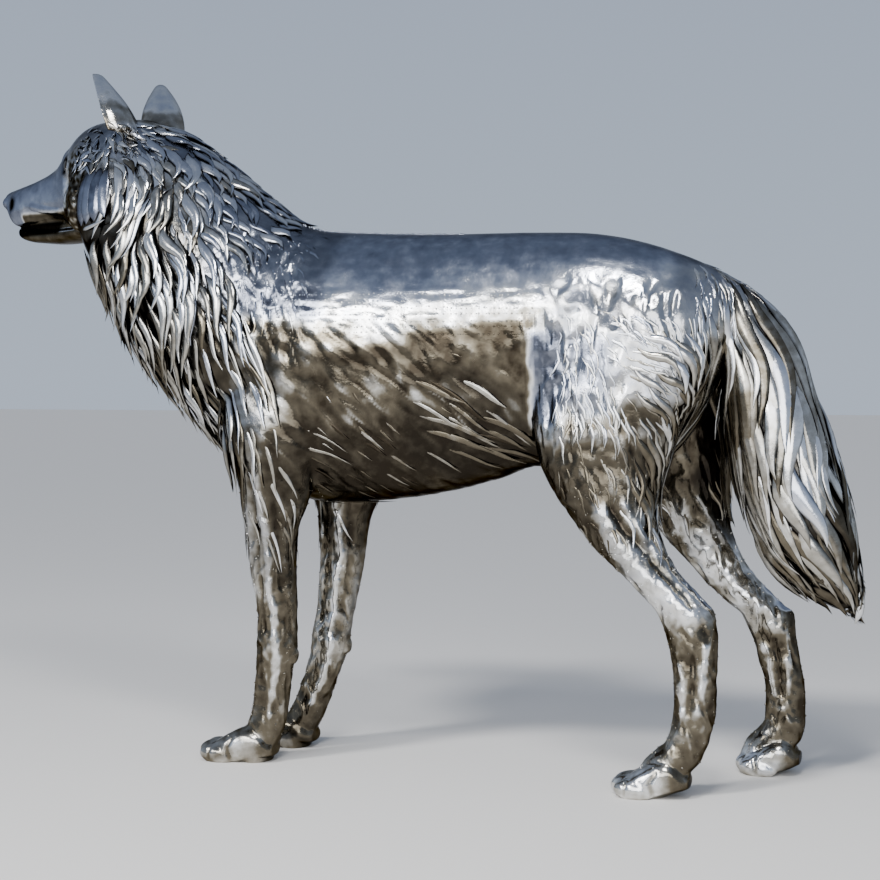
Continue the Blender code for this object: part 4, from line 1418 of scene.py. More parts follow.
@dataclass
class Coat:
    """Locks and strips of sheet steel combed over the skin."""

    tree: BVHTree  # of the smooth skin
    relief: BVHTree  # of the hammered skin
    places: Array
    head: HeadFrame
    painted_light_tone: PaintedLightTone = PaintedLightTone()
    comb: Comb = Comb()
    step: float = 0.032  # between two points of a lock
    fewest: int = 4  # steps of a lock
    lengths: Row = (0.75, 1.25)  # shortest and longest lock, over the zone's length
    widths: Row = (0.6, 1.35)
    strays: Row = (2.4, 4.0, 0.8)  # stray of a whole tuft and its pitch, and of a single lock
    phases: Row = (2.0, 3.0, 0.4)  # the same for where its S bend starts
    layers: float = 0.4  # how far locks lie over each other, over the zone's lift
    tufts: Row = (0.24, 9.0)  # strength and pitch of the tone that neighbours share
    tones: Row = (-0.13, 0.17)  # darkest and brightest single lock
    curve: float = 1.2  # how late a lock lifts
    blunt: Row = (0.05, 0.02)  # width at the root and at the tip, over the whole width
    blunt_blade: Row = (0.25, 0.02)  # the same for a blade
    shoulder: float = 2.6  # how soon a blade's root widens
    blade_steps: int = 9
    blade_sink: float = 0.004
    swells: Row = (-0.008, 0.01)  # least and most that a lock follows the hammered skin
    root_shade_end: float = 4.0  # how soon the painted shade at the roots ends
    reach: float = 0.045  # how far from a lock's middle the painted shade of the skin reaches
    rounds: int = 6  # of blurring that painted shade
    locks: dict[Region, list[Lock]] = field(default_factory=dict)
    # cheek blades; their tones are painted reflection and highlight, and their roots take painted
    # shade
    blades: tuple[Blade, ...] = (
        Blade((0.078, 2.3), (0.088, 2.19), (0.098, 2.08), 0.062, 0.012, 0.06, 9.0),
        Blade((0.044, 2.316), (0.052, 2.19), (0.052, 2.086), 0.068, 0.02, 0.12, 9.0),
        Blade((0.01, 2.31), (0.02, 2.2), (0.004, 2.094), 0.068, 0.026, 0.06, 9.0),
        Blade((-0.022, 2.305), (-0.004, 2.21), (-0.046, 2.106), 0.054, 0.028, 0.2, 7.0),
        Blade((0.118, 2.066), (0.036, 2.068), (-0.056, 2.096), 0.016, 0.038, 0.5, 4.0),
        Blade((-0.03, 2.25), (-0.06, 2.17), (0.022, 2.028), 0.04, 0.026, 0.52),
        Blade((-0.04, 2.33), (-0.13, 2.22), (-0.07, 2.08), 0.052, 0.022, 0.5),
        Blade((-0.08, 2.33), (-0.19, 2.22), (-0.1, 2.075), 0.048, 0.024, 0.42),
        Blade((-0.12, 2.32), (-0.24, 2.225), (-0.15, 2.09), 0.05, 0.022, 0.5),
        Blade((-0.16, 2.32), (-0.29, 2.24), (-0.2, 2.1), 0.042, 0.024, 0.44),
        Blade((-0.12, 2.35), (-0.19, 2.3), (-0.26, 2.215), 0.036, 0.026, 0.52),
        Blade((0.215, 2.29), (0.16, 2.378), (0.055, 2.325), 0.03, 0.008, 0.18),
        Blade((0.2, 2.325), (0.14, 2.4), (0.02, 2.37), 0.028, 0.008, 0.24),
        Blade((0.17, 2.275), (0.11, 2.352), (0.05, 2.27), 0.026, 0.01, 0.3),
    )
    curl: tuple[tuple[Row, float], ...] = (  # the hook at the tail's end: place, half width
        ((1.555, -0.012, 0.79), 0.004), ((1.572, -0.016, 0.735), 0.013),
        ((1.584, -0.018, 0.69), 0.017), ((1.576, -0.016, 0.645), 0.014),
        ((1.56, -0.012, 0.606), 0.002),
    )
    zones: tuple[Zone, ...] = (
        Zone(Region.FACE, (-1.52, 2.34), (-1.18, 2.47), 0.022, 0.07, 0.019, 1, lift=0.009,
             stray=50.0, stretch=1.8, gloom=0.5, bright=0.3, flank=(0.04, 0.26)),
        Zone(Region.FACE, (-1.3, 2.26), (-1.1, 2.38), 0.028, 0.12, 0.032, 2, lift=0.014,
             stretch=2.4, gloom=0.4, bright=0.6, flank=(0.1, 0.4)),
        Zone(Region.FACE, (-1.34, 2.38), (-1.12, 2.5), 0.026, 0.09, 0.026, 24, lift=0.01,
             stray=30.0, stretch=2.0, gloom=0.2, bright=0.85, flank=(0.09, 0.26)),
        Zone(Region.MANE, (-1.44, 1.88), (-1.33, 2.01), 0.032, 0.23, 0.04, 3, lift=0.036, free=0.12,
             stretch=3.2, sway=24.0, stray=14.0, gloom=1.0),
        Zone(Region.MANE, (-1.23, 2.04), (-1.02, 2.24), 0.031, 0.24, 0.046, 18, lift=0.036,
             stretch=3.2, sway=24.0, stray=14.0, gloom=1.0, bright=0.6),
        Zone(Region.MANE, (-1.35, 1.92), (-1.02, 2.05), 0.031, 0.24, 0.044, 23, lift=0.036,
             stretch=3.2, sway=24.0, stray=14.0, gloom=0.9, bright=0.75),
        Zone(Region.MANE, (-1.2, 2.2), (-0.86, 2.5), 0.036, 0.19, 0.05, 4, lift=0.016, stretch=2.8,
             bright=0.5, sway=26.0, stray=18.0, gloom=0.4),
        Zone(Region.MANE, (-1.02, 2.04), (-0.62, 2.4), 0.032, 0.15, 0.04, 5, lift=0.01, stretch=2.6,
             bright=0.34, sway=24.0, stray=20.0, gloom=0.4),
        Zone(Region.MANE, (-1.06, 1.74), (-0.78, 2.06), 0.034, 0.26, 0.044, 6, lift=0.028,
             sway=20.0, bright=0.8),
        Zone(Region.CHEST, (-1.5, 1.4), (-0.96, 1.92), 0.032, 0.28, 0.042, 7, lift=0.036, free=0.15,
             sway=20.0, stray=12.0, gloom=1.0),
        Zone(Region.CHEST, (-1.28, 1.16), (-0.8, 1.46), 0.034, 0.29, 0.042, 8, lift=0.03, free=0.1,
             gloom=1.0),
        Zone(Region.BODY, (-0.98, 1.34), (-0.68, 1.82), 0.035, 0.33, 0.036, 9, lift=0.012,
             sink=0.01, sway=10.0, gloom=0.6, bright=0.6, swell=2.0),
        Zone(Region.BODY, (-0.88, 1.76), (-0.5, 2.04), 0.03, 0.12, 0.018, 19, lift=0.003,
             sink=0.007, stretch=2.6, gloom=0.4, bright=0.0, swell=1.8),
        Zone(Region.BODY, (-0.82, 1.02), (-0.5, 1.4), 0.036, 0.28, 0.024, 10, lift=0.006, sink=0.01,
             sway=10.0, gloom=0.5, bright=0.6, swell=1.8, flank=(0.08, 0.4)),
        Zone(Region.BODY, (-0.52, 1.12), (-0.2, 1.4), 0.034, 0.22, 0.022, 11, lift=0.004,
             sink=0.012, sway=6.0, stray=6.0, gloom=0.4, bright=0.25, swell=1.6, flank=(0.16, 0.4)),
        Zone(Region.BODY, (-0.06, 1.24), (0.2, 1.5), 0.036, 0.27, 0.042, 12, lift=0.008, sink=0.006,
             sway=8.0, stray=8.0, gloom=0.6, bright=0.4, taper=1.6, swell=1.3, flank=(0.16, 0.4)),
        Zone(Region.BODY, (-0.45, 1.42), (0.05, 1.62), 0.06, 0.18, 0.022, 20, lift=0.002,
             sink=0.012, sway=6.0, stray=12.0, gloom=0.2, bright=0.2, swell=1.6, flank=(0.16, 0.4)),
        Zone(Region.HAUNCH, (0.52, 1.34), (0.92, 1.74), 0.022, 0.13, 0.017, 21, lift=0.003,
             sway=26.0, stray=16.0, stretch=2.2, gloom=0.4, bright=0.6, swell=1.8,
             flank=(0.1, 0.4)),
        Zone(Region.HAUNCH, (0.5, 1.0), (0.86, 1.4), 0.027, 0.19, 0.02, 13, lift=0.002, sink=0.006,
             sway=26.0, stray=14.0, gloom=0.4, bright=0.36, swell=1.8, flank=(0.1, 0.4)),
        Zone(Region.HAUNCH, (0.8, 1.1), (1.08, 1.66), 0.03, 0.22, 0.038, 14, lift=0.012, sink=0.006,
             free=0.06, sway=24.0, gloom=0.9, bright=0.4, swell=2.0, flank=(0.12, 0.4)),
        Zone(Region.HAUNCH, (0.98, 1.66), (1.16, 1.96), 0.022, 0.14, 0.018, 22, lift=0.006,
             sink=0.008, sway=12.0, stray=14.0, stretch=2.6, gloom=0.4, bright=0.3),
        Zone(Region.TAIL, (1.05, 1.5), (1.56, 1.84), 0.034, 0.56, 0.062, 15, lift=0.02, sway=10.0,
             stray=5.0, stretch=4.5, taper=2.6, bright=0.5, gloom=0.8, flank=(0.0, 0.17)),
        Zone(Region.TAIL, (1.08, 0.98), (1.56, 1.52), 0.035, 0.4, 0.062, 16, lift=0.026, sway=14.0,
             stray=7.0, stretch=4.5, taper=2.4, bright=0.36, gloom=0.9, flank=(0.0, 0.17)),
        Zone(Region.TAIL, (1.18, 0.74), (1.56, 1.0), 0.034, 0.23, 0.054, 17, lift=0.016, free=0.18,
             sway=14.0, stray=6.0, stretch=3.0, bright=0.2, gloom=0.9, flank=(0.0, 0.14)),
    )

    def roots(self, zone: Zone) -> tuple[list[Vector], random.Random]:
        """Choose evenly spaced roots inside a zone.

        Args:
            zone: the zone to fill.

        Returns:
            The roots, and the zone's own seeded random numbers.
        """
        spot = np.stack((self.places[:, 0], self.places[:, 2], np.abs(self.places[:, 1])), axis=1)
        low, high = (*zone.low, zone.flank[0]), (*zone.high, zone.flank[1])
        inside = np.nonzero(((spot > low) & (spot < high)).all(axis=1))[0]
        rng = random.Random(zone.seed)
        order = inside.tolist()
        rng.shuffle(order)
        chosen = self.places[order]
        headings = self.comb.headings(chosen)
        kept = np.empty((0, 3))
        for place, heading in zip(chosen, headings):
            offset = kept - place
            along = offset @ heading
            across = (offset ** 2).sum(axis=1) - along ** 2
            if len(kept) == 0 or (across + (along / zone.stretch) ** 2).min() > zone.spacing ** 2:
                kept = np.vstack((kept, place))
        return [Vector(place) for place in kept], rng

    def lay(self, root: Vector, zone: Zone, rng: random.Random) -> Lock:
        """Comb one lock over the skin.

        Args:
            root: where it starts.
            zone: its zone.
            rng: the zone's random numbers.

        Returns:
            The lock.
        """
        length = zone.length * rng.uniform(*self.lengths)
        width = zone.width * rng.uniform(*self.widths)
        tuft, pitch, single = self.strays
        stray = zone.stray * (tuft * noise.noise(root * pitch) + rng.uniform(-single, single))
        tuft, pitch, single = self.phases
        phase = tuft * noise.noise(root * pitch + APART) + rng.uniform(-single, single)
        layer = rng.uniform(0.0, self.layers) * zone.lift
        tone = self.tufts[0] * noise.noise(root * self.tufts[1]) + rng.uniform(*self.tones)
        lock = Lock([], [], [], tone, zone.gloom, zone.bright)
        spans = max(self.fewest, round(length / self.step))
        place = root.copy()
        for step in range(spans + 1):
            share = step / spans
            near, normal, _, _ = self.tree.find_nearest(place)
            bend = math.radians(stray + zone.sway * math.sin(2.0 * math.pi * share + phase))
            course = self.comb.heading(near)
            if lock.normals and share > 1.0 - zone.free:
                near, normal = place, lock.normals[-1]
            else:
                course = course - normal * course.dot(normal)
            course = Matrix.Rotation(bend, 3, normal) @ course.normalized()
            rise = layer + (zone.lift + zone.sink) * share ** self.curve - zone.sink
            if near is not place:
                rise += self.swell(near, normal)
            butt, tip = self.blunt
            girth = min(1.0, butt + share * zone.swell) * (1.0 - share ** zone.taper) + tip
            lock.places.append(near + normal * rise)
            lock.normals.append(normal)
            lock.girths.append(width / 2.0 * girth)
            place = near + course * (length / spans)
        return lock

    def swell(self, place: Vector, normal: Vector) -> float:
        """How far the hammered skin rises over the smooth skin at a place."""
        surface = self.relief.find_nearest(place)[0]
        return min(max((surface - place).dot(normal), self.swells[0]), self.swells[1])

    def bend(self, blade: Blade, side: Side) -> Lock:
        """Bend one cheek blade over the skin.

        Args:
            blade: its sizes.
            side: which cheek.

        Returns:
            The blade as a lock.
        """
        # the blade keeps its own painted tone, with painted shade at its root
        lock = Lock([], [], [], tone=blade.tone - BRIGHTEST, gloom=0.8, bright=1.0)
        root, pull, point = (np.array(spot) for spot in (blade.root, blade.bend, blade.tip))
        butt, tip = self.blunt_blade
        for step in range(self.blade_steps + 1):
            share = step / self.blade_steps
            spot = (1 - share) ** 2 * root + 2 * share * (1 - share) * pull + share ** 2 * point
            place, normal = self.head.skin_at(self.tree, spot[0], spot[1], side)
            girth = min(1.0, butt + share * self.shoulder) * (1.0 - share ** blade.taper) + tip
            lock.places.append(place + normal * (blade.lift * share - self.blade_sink))
            lock.normals.append(normal)
            lock.girths.append(blade.width / 2.0 * girth)
        return lock

    def hook(self) -> Lock:
        """Bend the hook at the tail's end."""
        places = [Vector(place) for place, _ in self.curl]
        # painted white highlight all along the hook, with painted shade at its root
        return Lock(places, [Vector((0.35, -0.94, 0.0))] * len(places),
                    [girth for _, girth in self.curl], tone=0.0, gloom=0.6, bright=1.0)

    def grow(self) -> None:
        """Lay every blade of the cheeks, the tail's hook and every lock of every zone."""
        self.locks[Region.FACE] = [self.bend(blade, side) for side in Side for blade in self.blades]
        self.locks[Region.TAIL] = [self.hook()]
        for zone in self.zones:
            roots, rng = self.roots(zone)
            locks = self.locks.setdefault(zone.region, [])
            locks.extend(self.lay(root, zone, rng) for root in roots)
            LOG.info("%s, zone %d: %d locks", zone.region.value, zone.seed, len(roots))

    def guides(self, region: Region) -> Item:
        """Gather the guides of a region in one mesh of edges.

        Args:
            region: the region to comb.

        Returns:
            The guides, with each point's girth, normal, painted light tone and painted shade as
            attributes.
        """
        locks = self.locks[region]
        places = [place for lock in locks for place in lock.places]
        normals = [normal for lock in locks for normal in lock.normals]
        edges: list[tuple[int, int]] = []
        painted_shade: list[float] = []
        for lock in locks:
            first, spans = len(painted_shade), len(lock.places) - 1
            edges += [(first + step, first + step + 1) for step in range(spans)]
            # painted shade at each lock's root
            painted_shade += [lock.gloom * max(0.0, 1.0 - self.root_shade_end * step / spans)
                      for step in range(spans + 1)]
        # painted light tone, pulled towards the painted white highlight by the lock's bright
        tones = self.painted_light_tone.tones(np.array(places), np.array(normals))
        bright = np.array([lock.bright for lock in locks for _ in lock.places])
        offset = np.array([lock.tone for lock in locks for _ in lock.places])
        tones = np.clip(tones + (BRIGHTEST - tones) * bright + offset, 0.0, 1.0)
        mesh = bpy.data.meshes.new(region.value)
        mesh.from_pydata(places, edges, [])
        lay = mesh.attributes.new("lay", "FLOAT_VECTOR", "POINT")
        lay.data.foreach_set("vector", np.array(normals).ravel())
        item = put_in_scene(region.value, mesh)
        write_floats(item, "girth", np.array([girth for lock in locks for girth in lock.girths]))
        write_floats(item, "tone", tones)
        write_floats(item, "painted_shade", np.array(painted_shade))
        return item

    def lay_painted_shade(self, item: Item, own: Array) -> None:
        """Paint shade on the skin between the locks.

        Args:
            item: a piece of the skin.
            own: painted shade that it has of its own, one number for each vertex.
        """
        points = [(place, lock.gloom) for locks in self.locks.values() for lock in locks
                  for place in lock.places]
        near = kdtree.KDTree(len(points))
        for index, (place, _) in enumerate(points):
            near.insert(place, index)
        near.balance()
        painted_shade = np.zeros(len(item.data.vertices))
        for index, vert in enumerate(item.data.vertices):
            _, found, apart = near.find(vert.co)
            painted_shade[index] = points[found][1] * min(max(2.0 - apart / self.reach, 0.0), 1.0)
        ends = np.empty(2 * len(item.data.edges), np.int32)
        item.data.edges.foreach_get("vertices", ends)
        start, end = ends[::2], ends[1::2]
        ties = np.bincount(ends, minlength=len(painted_shade))
        count = len(painted_shade)
        for _ in range(self.rounds):
            spread = np.bincount(start, painted_shade[end], count) + np.bincount(end, painted_shade[start], count)
            painted_shade = 0.5 * painted_shade + 0.5 * spread / np.maximum(ties, 1)
        write_floats(item, "painted_shade", np.maximum(painted_shade, own))


@dataclass(frozen=True)
class LockTree:
    """Geometry Nodes that sweep a domed steel lock along every guide."""

    sides: int = 8
    edges: Row = (0.98, 0.1)  # how squarely the crown and the edge look away from the skin, for the painted shade on the edges

    def build(self) -> bpy.types.NodeTree:
        """Build the node tree with its named inputs.

        Returns:
            The tree.
        """
        wires = Wiring.start("sweep_locks", {"Sides": "Int", "Flatness": "Vector",
                                             "Edge Painted Shade": "Float", "Steel": "Material"})
        given = wires.add("NodeGroupInput").outputs
        lay = wires.stored("lay", "FLOAT_VECTOR")
        curve = wires.add("GeometryNodeMeshToCurve", {"Mesh": given["Geometry"]})
        aim = wires.add("GeometryNodeSetCurveNormal",
                        {"Curve": curve.outputs["Curve"], "Normal": lay}, mode="FREE")
        circle = wires.add("GeometryNodeCurvePrimitiveCircle", {"Resolution": given["Sides"]})
        squash = wires.add("GeometryNodeTransform", {"Geometry": circle.outputs["Curve"],
                                                     "Scale": given["Flatness"]})
        sweep = wires.add("GeometryNodeCurveToMesh", {
            "Curve": aim.outputs["Curve"], "Profile Curve": squash.outputs["Geometry"],
            "Scale": wires.stored("girth"), "Fill Caps": True})
        # painted shade on the lock's edges, where it turns from the skin, added to the painted
        # shade at its root
        outward = wires.add("GeometryNodeInputNormal").outputs["Normal"]
        crown = wires.add("ShaderNodeVectorMath", {0: outward, 1: lay}, operation="DOT_PRODUCT")
        edge = wires.add("ShaderNodeMapRange", {
            "Value": crown.outputs["Value"], "From Min": self.edges[0],
            "From Max": self.edges[1], "To Max": given["Edge Painted Shade"]})
        painted_shade = wires.add("ShaderNodeMath", {0: edge.outputs["Result"], 1: wires.stored("painted_shade")},
                          operation="ADD")
        store = wires.add("GeometryNodeStoreNamedAttribute", {
            "Geometry": sweep.outputs["Mesh"], "Name": "painted_shade", "Value": painted_shade.outputs["Value"]},
            data_type="FLOAT", domain="POINT")
        return wires.finish(store.outputs["Geometry"], given["Steel"])

    def sweep(self, guides: Item, tree: bpy.types.NodeTree,
              steel: bpy.types.Material, region: Region) -> None:
        """Turn the guides of a region into a plain mesh of locks."""
        run_tree(guides, tree, {"Sides": self.sides, "Flatness": (region.flatness, 1.0, 1.0),
                                "Edge Painted Shade": region.edge_painted_shade, "Steel": steel})


@dataclass(frozen=True)
class Beads:
    """A patch of small weld beads."""

    low: Row  # lowest x, |y| and z
    high: Row
    spacing: float
    size: float
    row: float = 0.0  # height between rows, 0 for scattered beads


@dataclass(frozen=True)
class Weld:
    """Beads of weld metal on the skin, placed by Geometry Nodes."""

    patches: tuple[Beads, ...] = (
        Beads((-0.56, 0.1, 1.64), (0.44, 0.4, 1.8), 0.017, 0.0036, 0.024),
        Beads((-0.7, 0.05, 1.74), (-0.48, 0.4, 2.0), 0.036, 0.0034),
        Beads((-0.56, 0.0, 2.02), (0.1, 0.04, 2.1), 0.022, 0.0045),
        Beads((-0.8, 0.0, 0.1), (-0.4, 0.4, 1.1), 0.05, 0.0032),
        Beads((0.6, 0.0, 0.1), (1.45, 0.4, 1.1), 0.05, 0.0032),
    )
    seed: int = 40
    lean: float = 0.01  # fall of the rows towards the tail
    breadth: float = 0.005  # half the height of a row
    share: float = 0.75  # of the cells that hold a bead
    sizes: Row = (0.6, 1.3)  # smallest and largest bead, over the patch's size
    tones: Row = (0.7, 0.15)  # how a bead's tone follows the skin's painted light tone
    detail: int = 1

    def spots(self, item: Item) -> Item:
        """Choose the beads' places on a piece of skin.

        Args:
            item: the piece.

        Returns:
            A mesh of points with each bead's size and the skin's painted light tone.
        """
        rng = random.Random(self.seed)
        places = read_places(item)
        tones = np.empty(len(places), np.float32)
        item.data.attributes["tone"].data.foreach_get("value", tones)
        folded = np.abs(places * (0.0, 1.0, 0.0)) + places * (1.0, 0.0, 1.0)
        found: dict[tuple[int, ...], tuple[int, float]] = {}
        for index, patch in enumerate(self.patches):
            inside = ((folded > patch.low) & (folded < patch.high)).all(axis=1)
            if patch.row:
                level = (places[:, 2] + self.lean * places[:, 0]) % patch.row
                inside &= np.abs(level - 0.5 * patch.row) < self.breadth
            for vert in np.nonzero(inside)[0].tolist():
                cell = (index, *np.floor(places[vert] / patch.spacing).astype(int).tolist())
                if cell not in found and rng.random() < self.share:
                    found[cell] = (vert, patch.size * rng.uniform(*self.sizes))
        chosen = [vert for vert, _ in found.values()]
        mesh = bpy.data.meshes.new("beads")
        mesh.from_pydata(places[chosen].tolist(), [], [])
        spots = put_in_scene("beads", mesh)
        write_floats(spots, "size", np.array([size for _, size in found.values()]))
        write_floats(spots, "tone", self.tones[0] * tones[chosen] + self.tones[1])
        return spots

    def build(self, skin: Sequence[Item], steel: bpy.types.Material) -> Item:
        """Set a bead at every chosen place.

        Args:
            skin: the pieces of the skin.
            steel: the beads' material.

        Returns:
            The beads as one plain mesh.
        """
        beads = join([self.spots(item) for item in skin], "weld_beads")
        wires = Wiring.start("set_beads", {"Detail": "Int", "Steel": "Material"})
        given = wires.add("NodeGroupInput").outputs
        ball = wires.add("GeometryNodeMeshIcoSphere", {"Subdivisions": given["Detail"]})
        place = wires.add("GeometryNodeInstanceOnPoints", {
            "Points": given["Geometry"], "Instance": ball.outputs["Mesh"],
            "Scale": wires.stored("size")})
        tree = wires.finish(place.outputs["Instances"], given["Steel"])
        run_tree(beads, tree, {"Detail": self.detail, "Steel": steel})
        return beads


# ---- finishes ----
@dataclass(frozen=True)
class Steel:
    """Polished stainless steel coloured by its painted light tone, with grinding marks, dents and
    painted shade in its recesses.
    """

    name: str
    ramp: tuple[tuple[float, Row], ...] = (  # tone, colour; painted reflection of dark blue sky below 0.5, painted white highlight at 0.5, painted reflection of brown ground above it
        (0.0, (0.12, 0.135, 0.18)), (0.1, (0.28, 0.305, 0.375)), (0.2, (0.37, 0.4, 0.48)),
        (0.36, (0.66, 0.69, 0.76)),
        (0.5, (0.9, 0.9, 0.89)), (0.62, (0.48, 0.46, 0.41)), (0.78, (0.16, 0.138, 0.1)),
        (1.0, (0.04, 0.032, 0.022)),
    )
    # colour of the painted shade
    painted_shade: Row = (0.014, 0.012, 0.01)
    rim: Row = (0.35, 0.34, 0.33)  # how much of the glare at a grazing look is kept
    roughness: Row = (0.1, 0.28)
    hazes: Row = (14.0, 8.0)  # pitch and detail of the clouds in the gloss
    mottle: Row = (22.0, 0.1)  # pitch and strength of the fine clouds
    dents: float = 0.3
    scratches: float = 0.12
    dent: Row = (28.0, 0.006)  # their pitch and depth
    scratch: Row = (160.0, 0.002)

    def material(self) -> bpy.types.Material:
        """Build the node material.

        Returns:
            The material.
        """
        material, wires, shader = start_material(self.name)
        where = wires.add("ShaderNodeTexCoord").outputs["Object"]

        def cloud(scale: float, detail: float = 4.0) -> Socket:
            """A noise texture on object coordinates."""
            return wires.add("ShaderNodeTexNoise", {"Vector": where, "Scale": scale,
                                                    "Detail": detail}).outputs["Fac"]

        def spread(value: Socket, span: Row, low: float, high: float) -> Socket:
            """Spread the middle span of a noise from low to high."""
            return wires.add("ShaderNodeMapRange", {
                "Value": value, "From Min": span[0], "From Max": span[1],
                "To Min": low, "To Max": high}).outputs["Result"]

        def stored(name: str) -> Socket:
            """A number stored at the vertices."""
            return wires.add("ShaderNodeAttribute", attribute_name=name).outputs["Fac"]

        pitch, strength = self.mottle
        clouds = spread(cloud(pitch, 6.0), (0.25, 0.75), -strength, strength)
        tone = wires.add("ShaderNodeMath", {0: stored("tone"), 1: clouds}, operation="ADD")
        # painted shade mixed over the colour of the painted light tone
        lay_painted_shade = wires.add("ShaderNodeMix", data_type="RGBA")
        wires.feed(lay_painted_shade, {"Factor": stored("painted_shade"), "B": (*self.painted_shade, 1.0),
                          "A": wires.ramp(tone.outputs["Value"], self.ramp)})
        gloss = spread(cloud(*self.hazes), (0.3, 0.7), *self.roughness)
        relief = None
        for (scale, depth), strength in ((self.dent, self.dents), (self.scratch, self.scratches)):
            bump = wires.add("ShaderNodeBump", {"Strength": strength, "Distance": depth,
                                                "Height": cloud(scale)})
            if relief:
                wires.feed(bump, {"Normal": relief})
            relief = bump.outputs["Normal"]
        wires.feed(shader, {"Metallic": 1.0, "Specular Tint": (*self.rim, 1.0), "Roughness": gloss,
                            "Base Color": lay_painted_shade.outputs["Result"], "Normal": relief})
        return material


@dataclass(frozen=True)
class EyeSteel:
    """Dark steel of the eyes."""

    tone: Row = (0.03, 0.026, 0.022)
    metal: float = 0.6
    roughness: Row = (0.08, 0.2)
    pitch: float = 120.0  # of the clouds in its gloss

    def material(self) -> bpy.types.Material:
        """Build the material, with faint clouds in its gloss.

        Returns:
            The material.
        """
        material, wires, shader = start_material("eye_steel")
        where = wires.add("ShaderNodeTexCoord").outputs["Object"]
        cloud = wires.add("ShaderNodeTexNoise", {"Vector": where, "Scale": self.pitch})
        gloss = wires.add("ShaderNodeMapRange", {
            "Value": cloud.outputs["Fac"], "To Min": self.roughness[0],
            "To Max": self.roughness[1]})
        wires.feed(shader, {"Base Color": (*self.tone, 1.0), "Metallic": self.metal,
                            "Roughness": gloss.outputs["Result"]})
        return material


@dataclass(frozen=True)
class Plaster:
    """Pale floor."""

    tone: Row = (0.72, 0.7, 0.67)
    roughness: float = 0.8

    def material(self) -> bpy.types.Material:
        """Build the plain material.

        Returns:
            The material.
        """
        material, wires, shader = start_material("pale_floor")
        wires.feed(shader, {"Base Color": (*self.tone, 1.0), "Roughness": self.roughness})
        return material


# ---- studio ----
@dataclass
class Studio:
    """Floor, soft lights and camera."""

    distance: float = 7.0
    azimuth: float = math.radians(18.3)
    eye_height: float = 1.5
    pitch: float = math.radians(2.094)
    lens: float = 74.99
    sensor: float = 36.0
    floor_size: float = 60.0
    sky: tuple[tuple[float, Row], ...] = (  # upward lie of the gaze, colour
        (0.0, (0.5, 0.58, 0.7)), (0.25, (0.4, 0.47, 0.6)), (0.6, (0.26, 0.31, 0.41)),
        (1.0, (0.2, 0.24, 0.32)),
    )
    lights: tuple[tuple[str, Row, Row, float, float, float], ...] = (
        # name, place, aim, width, height, power
        ("key", (-2.0, -6.4, 3.9), (0.0, 0.0, 1.4), 2.0, 1.4, 130.0),
        ("window", (1.1, -9.0, 3.4), (0.2, 0.0, 1.6), 9.4, 4.4, 570.0),
        ("crest", (-4.0, -6.0, 4.2), (-1.0, 0.0, 2.0), 2.4, 2.0, 110.0),
        ("hip", (1.4, -3.6, 6.0), (0.8, 0.0, 1.8), 1.3, 1.3, 200.0),
    )
    sun: Row = (-3.0, -5.0, 5.5, 2.0, 0.16)  # direction it comes from, strength, breadth

    def place_floor(self) -> Item:
        """Lay the pale floor.

        Returns:
            The floor.
        """
        bm = bmesh.new()
        bmesh.ops.create_grid(bm, x_segments=2, y_segments=2, size=self.floor_size)
        floor = make_object("floor", bm)
        floor.data.materials.append(Plaster().material())
        return floor

    def hang_lights(self) -> None:
        """Hang the soft lights and set a background graded from the horizon up."""
        for name, place, aim, width, height, power in self.lights:
            lamp = bpy.data.lights.new(name, "AREA")
            lamp.shape, lamp.size, lamp.size_y, lamp.energy = "RECTANGLE", width, height, power
            item = put_in_scene(name, lamp)
            item.location = place
            item.rotation_euler = (Vector(aim) - Vector(place)).to_track_quat("-Z", "Y").to_euler()
        lamp = bpy.data.lights.new("sun", "SUN")
        *course, lamp.energy, lamp.angle = self.sun
        item = put_in_scene("sun", lamp)
        item.visible_glossy = False
        item.rotation_euler = Vector(course).to_track_quat("Z", "Y").to_euler()
        world = bpy.data.worlds.new("studio")
        world.use_nodes = True
        wires = Wiring(world.node_tree)
        gaze = wires.add("ShaderNodeTexCoord").outputs["Generated"]
        split = wires.add("ShaderNodeSeparateXYZ", {"Vector": gaze})
        wires.feed(world.node_tree.nodes["Background"],
                   {"Color": wires.ramp(split.outputs["Z"], self.sky)})
        bpy.context.scene.world = world

    def set_camera(self) -> None:
        """Set the camera at a standing viewer's eye."""
        lens = bpy.data.cameras.new("camera")
        lens.lens, lens.sensor_width = self.lens, self.sensor
        camera = put_in_scene("camera", lens)
        flat = Vector((math.sin(self.azimuth), -math.cos(self.azimuth), 0.0)) * self.distance
        camera.location = flat + Vector((0.0, 0.0, self.eye_height)) - CENTRE
        camera.rotation_euler = (math.pi / 2.0 - self.pitch, 0.0, self.azimuth)
        bpy.context.scene.camera = camera


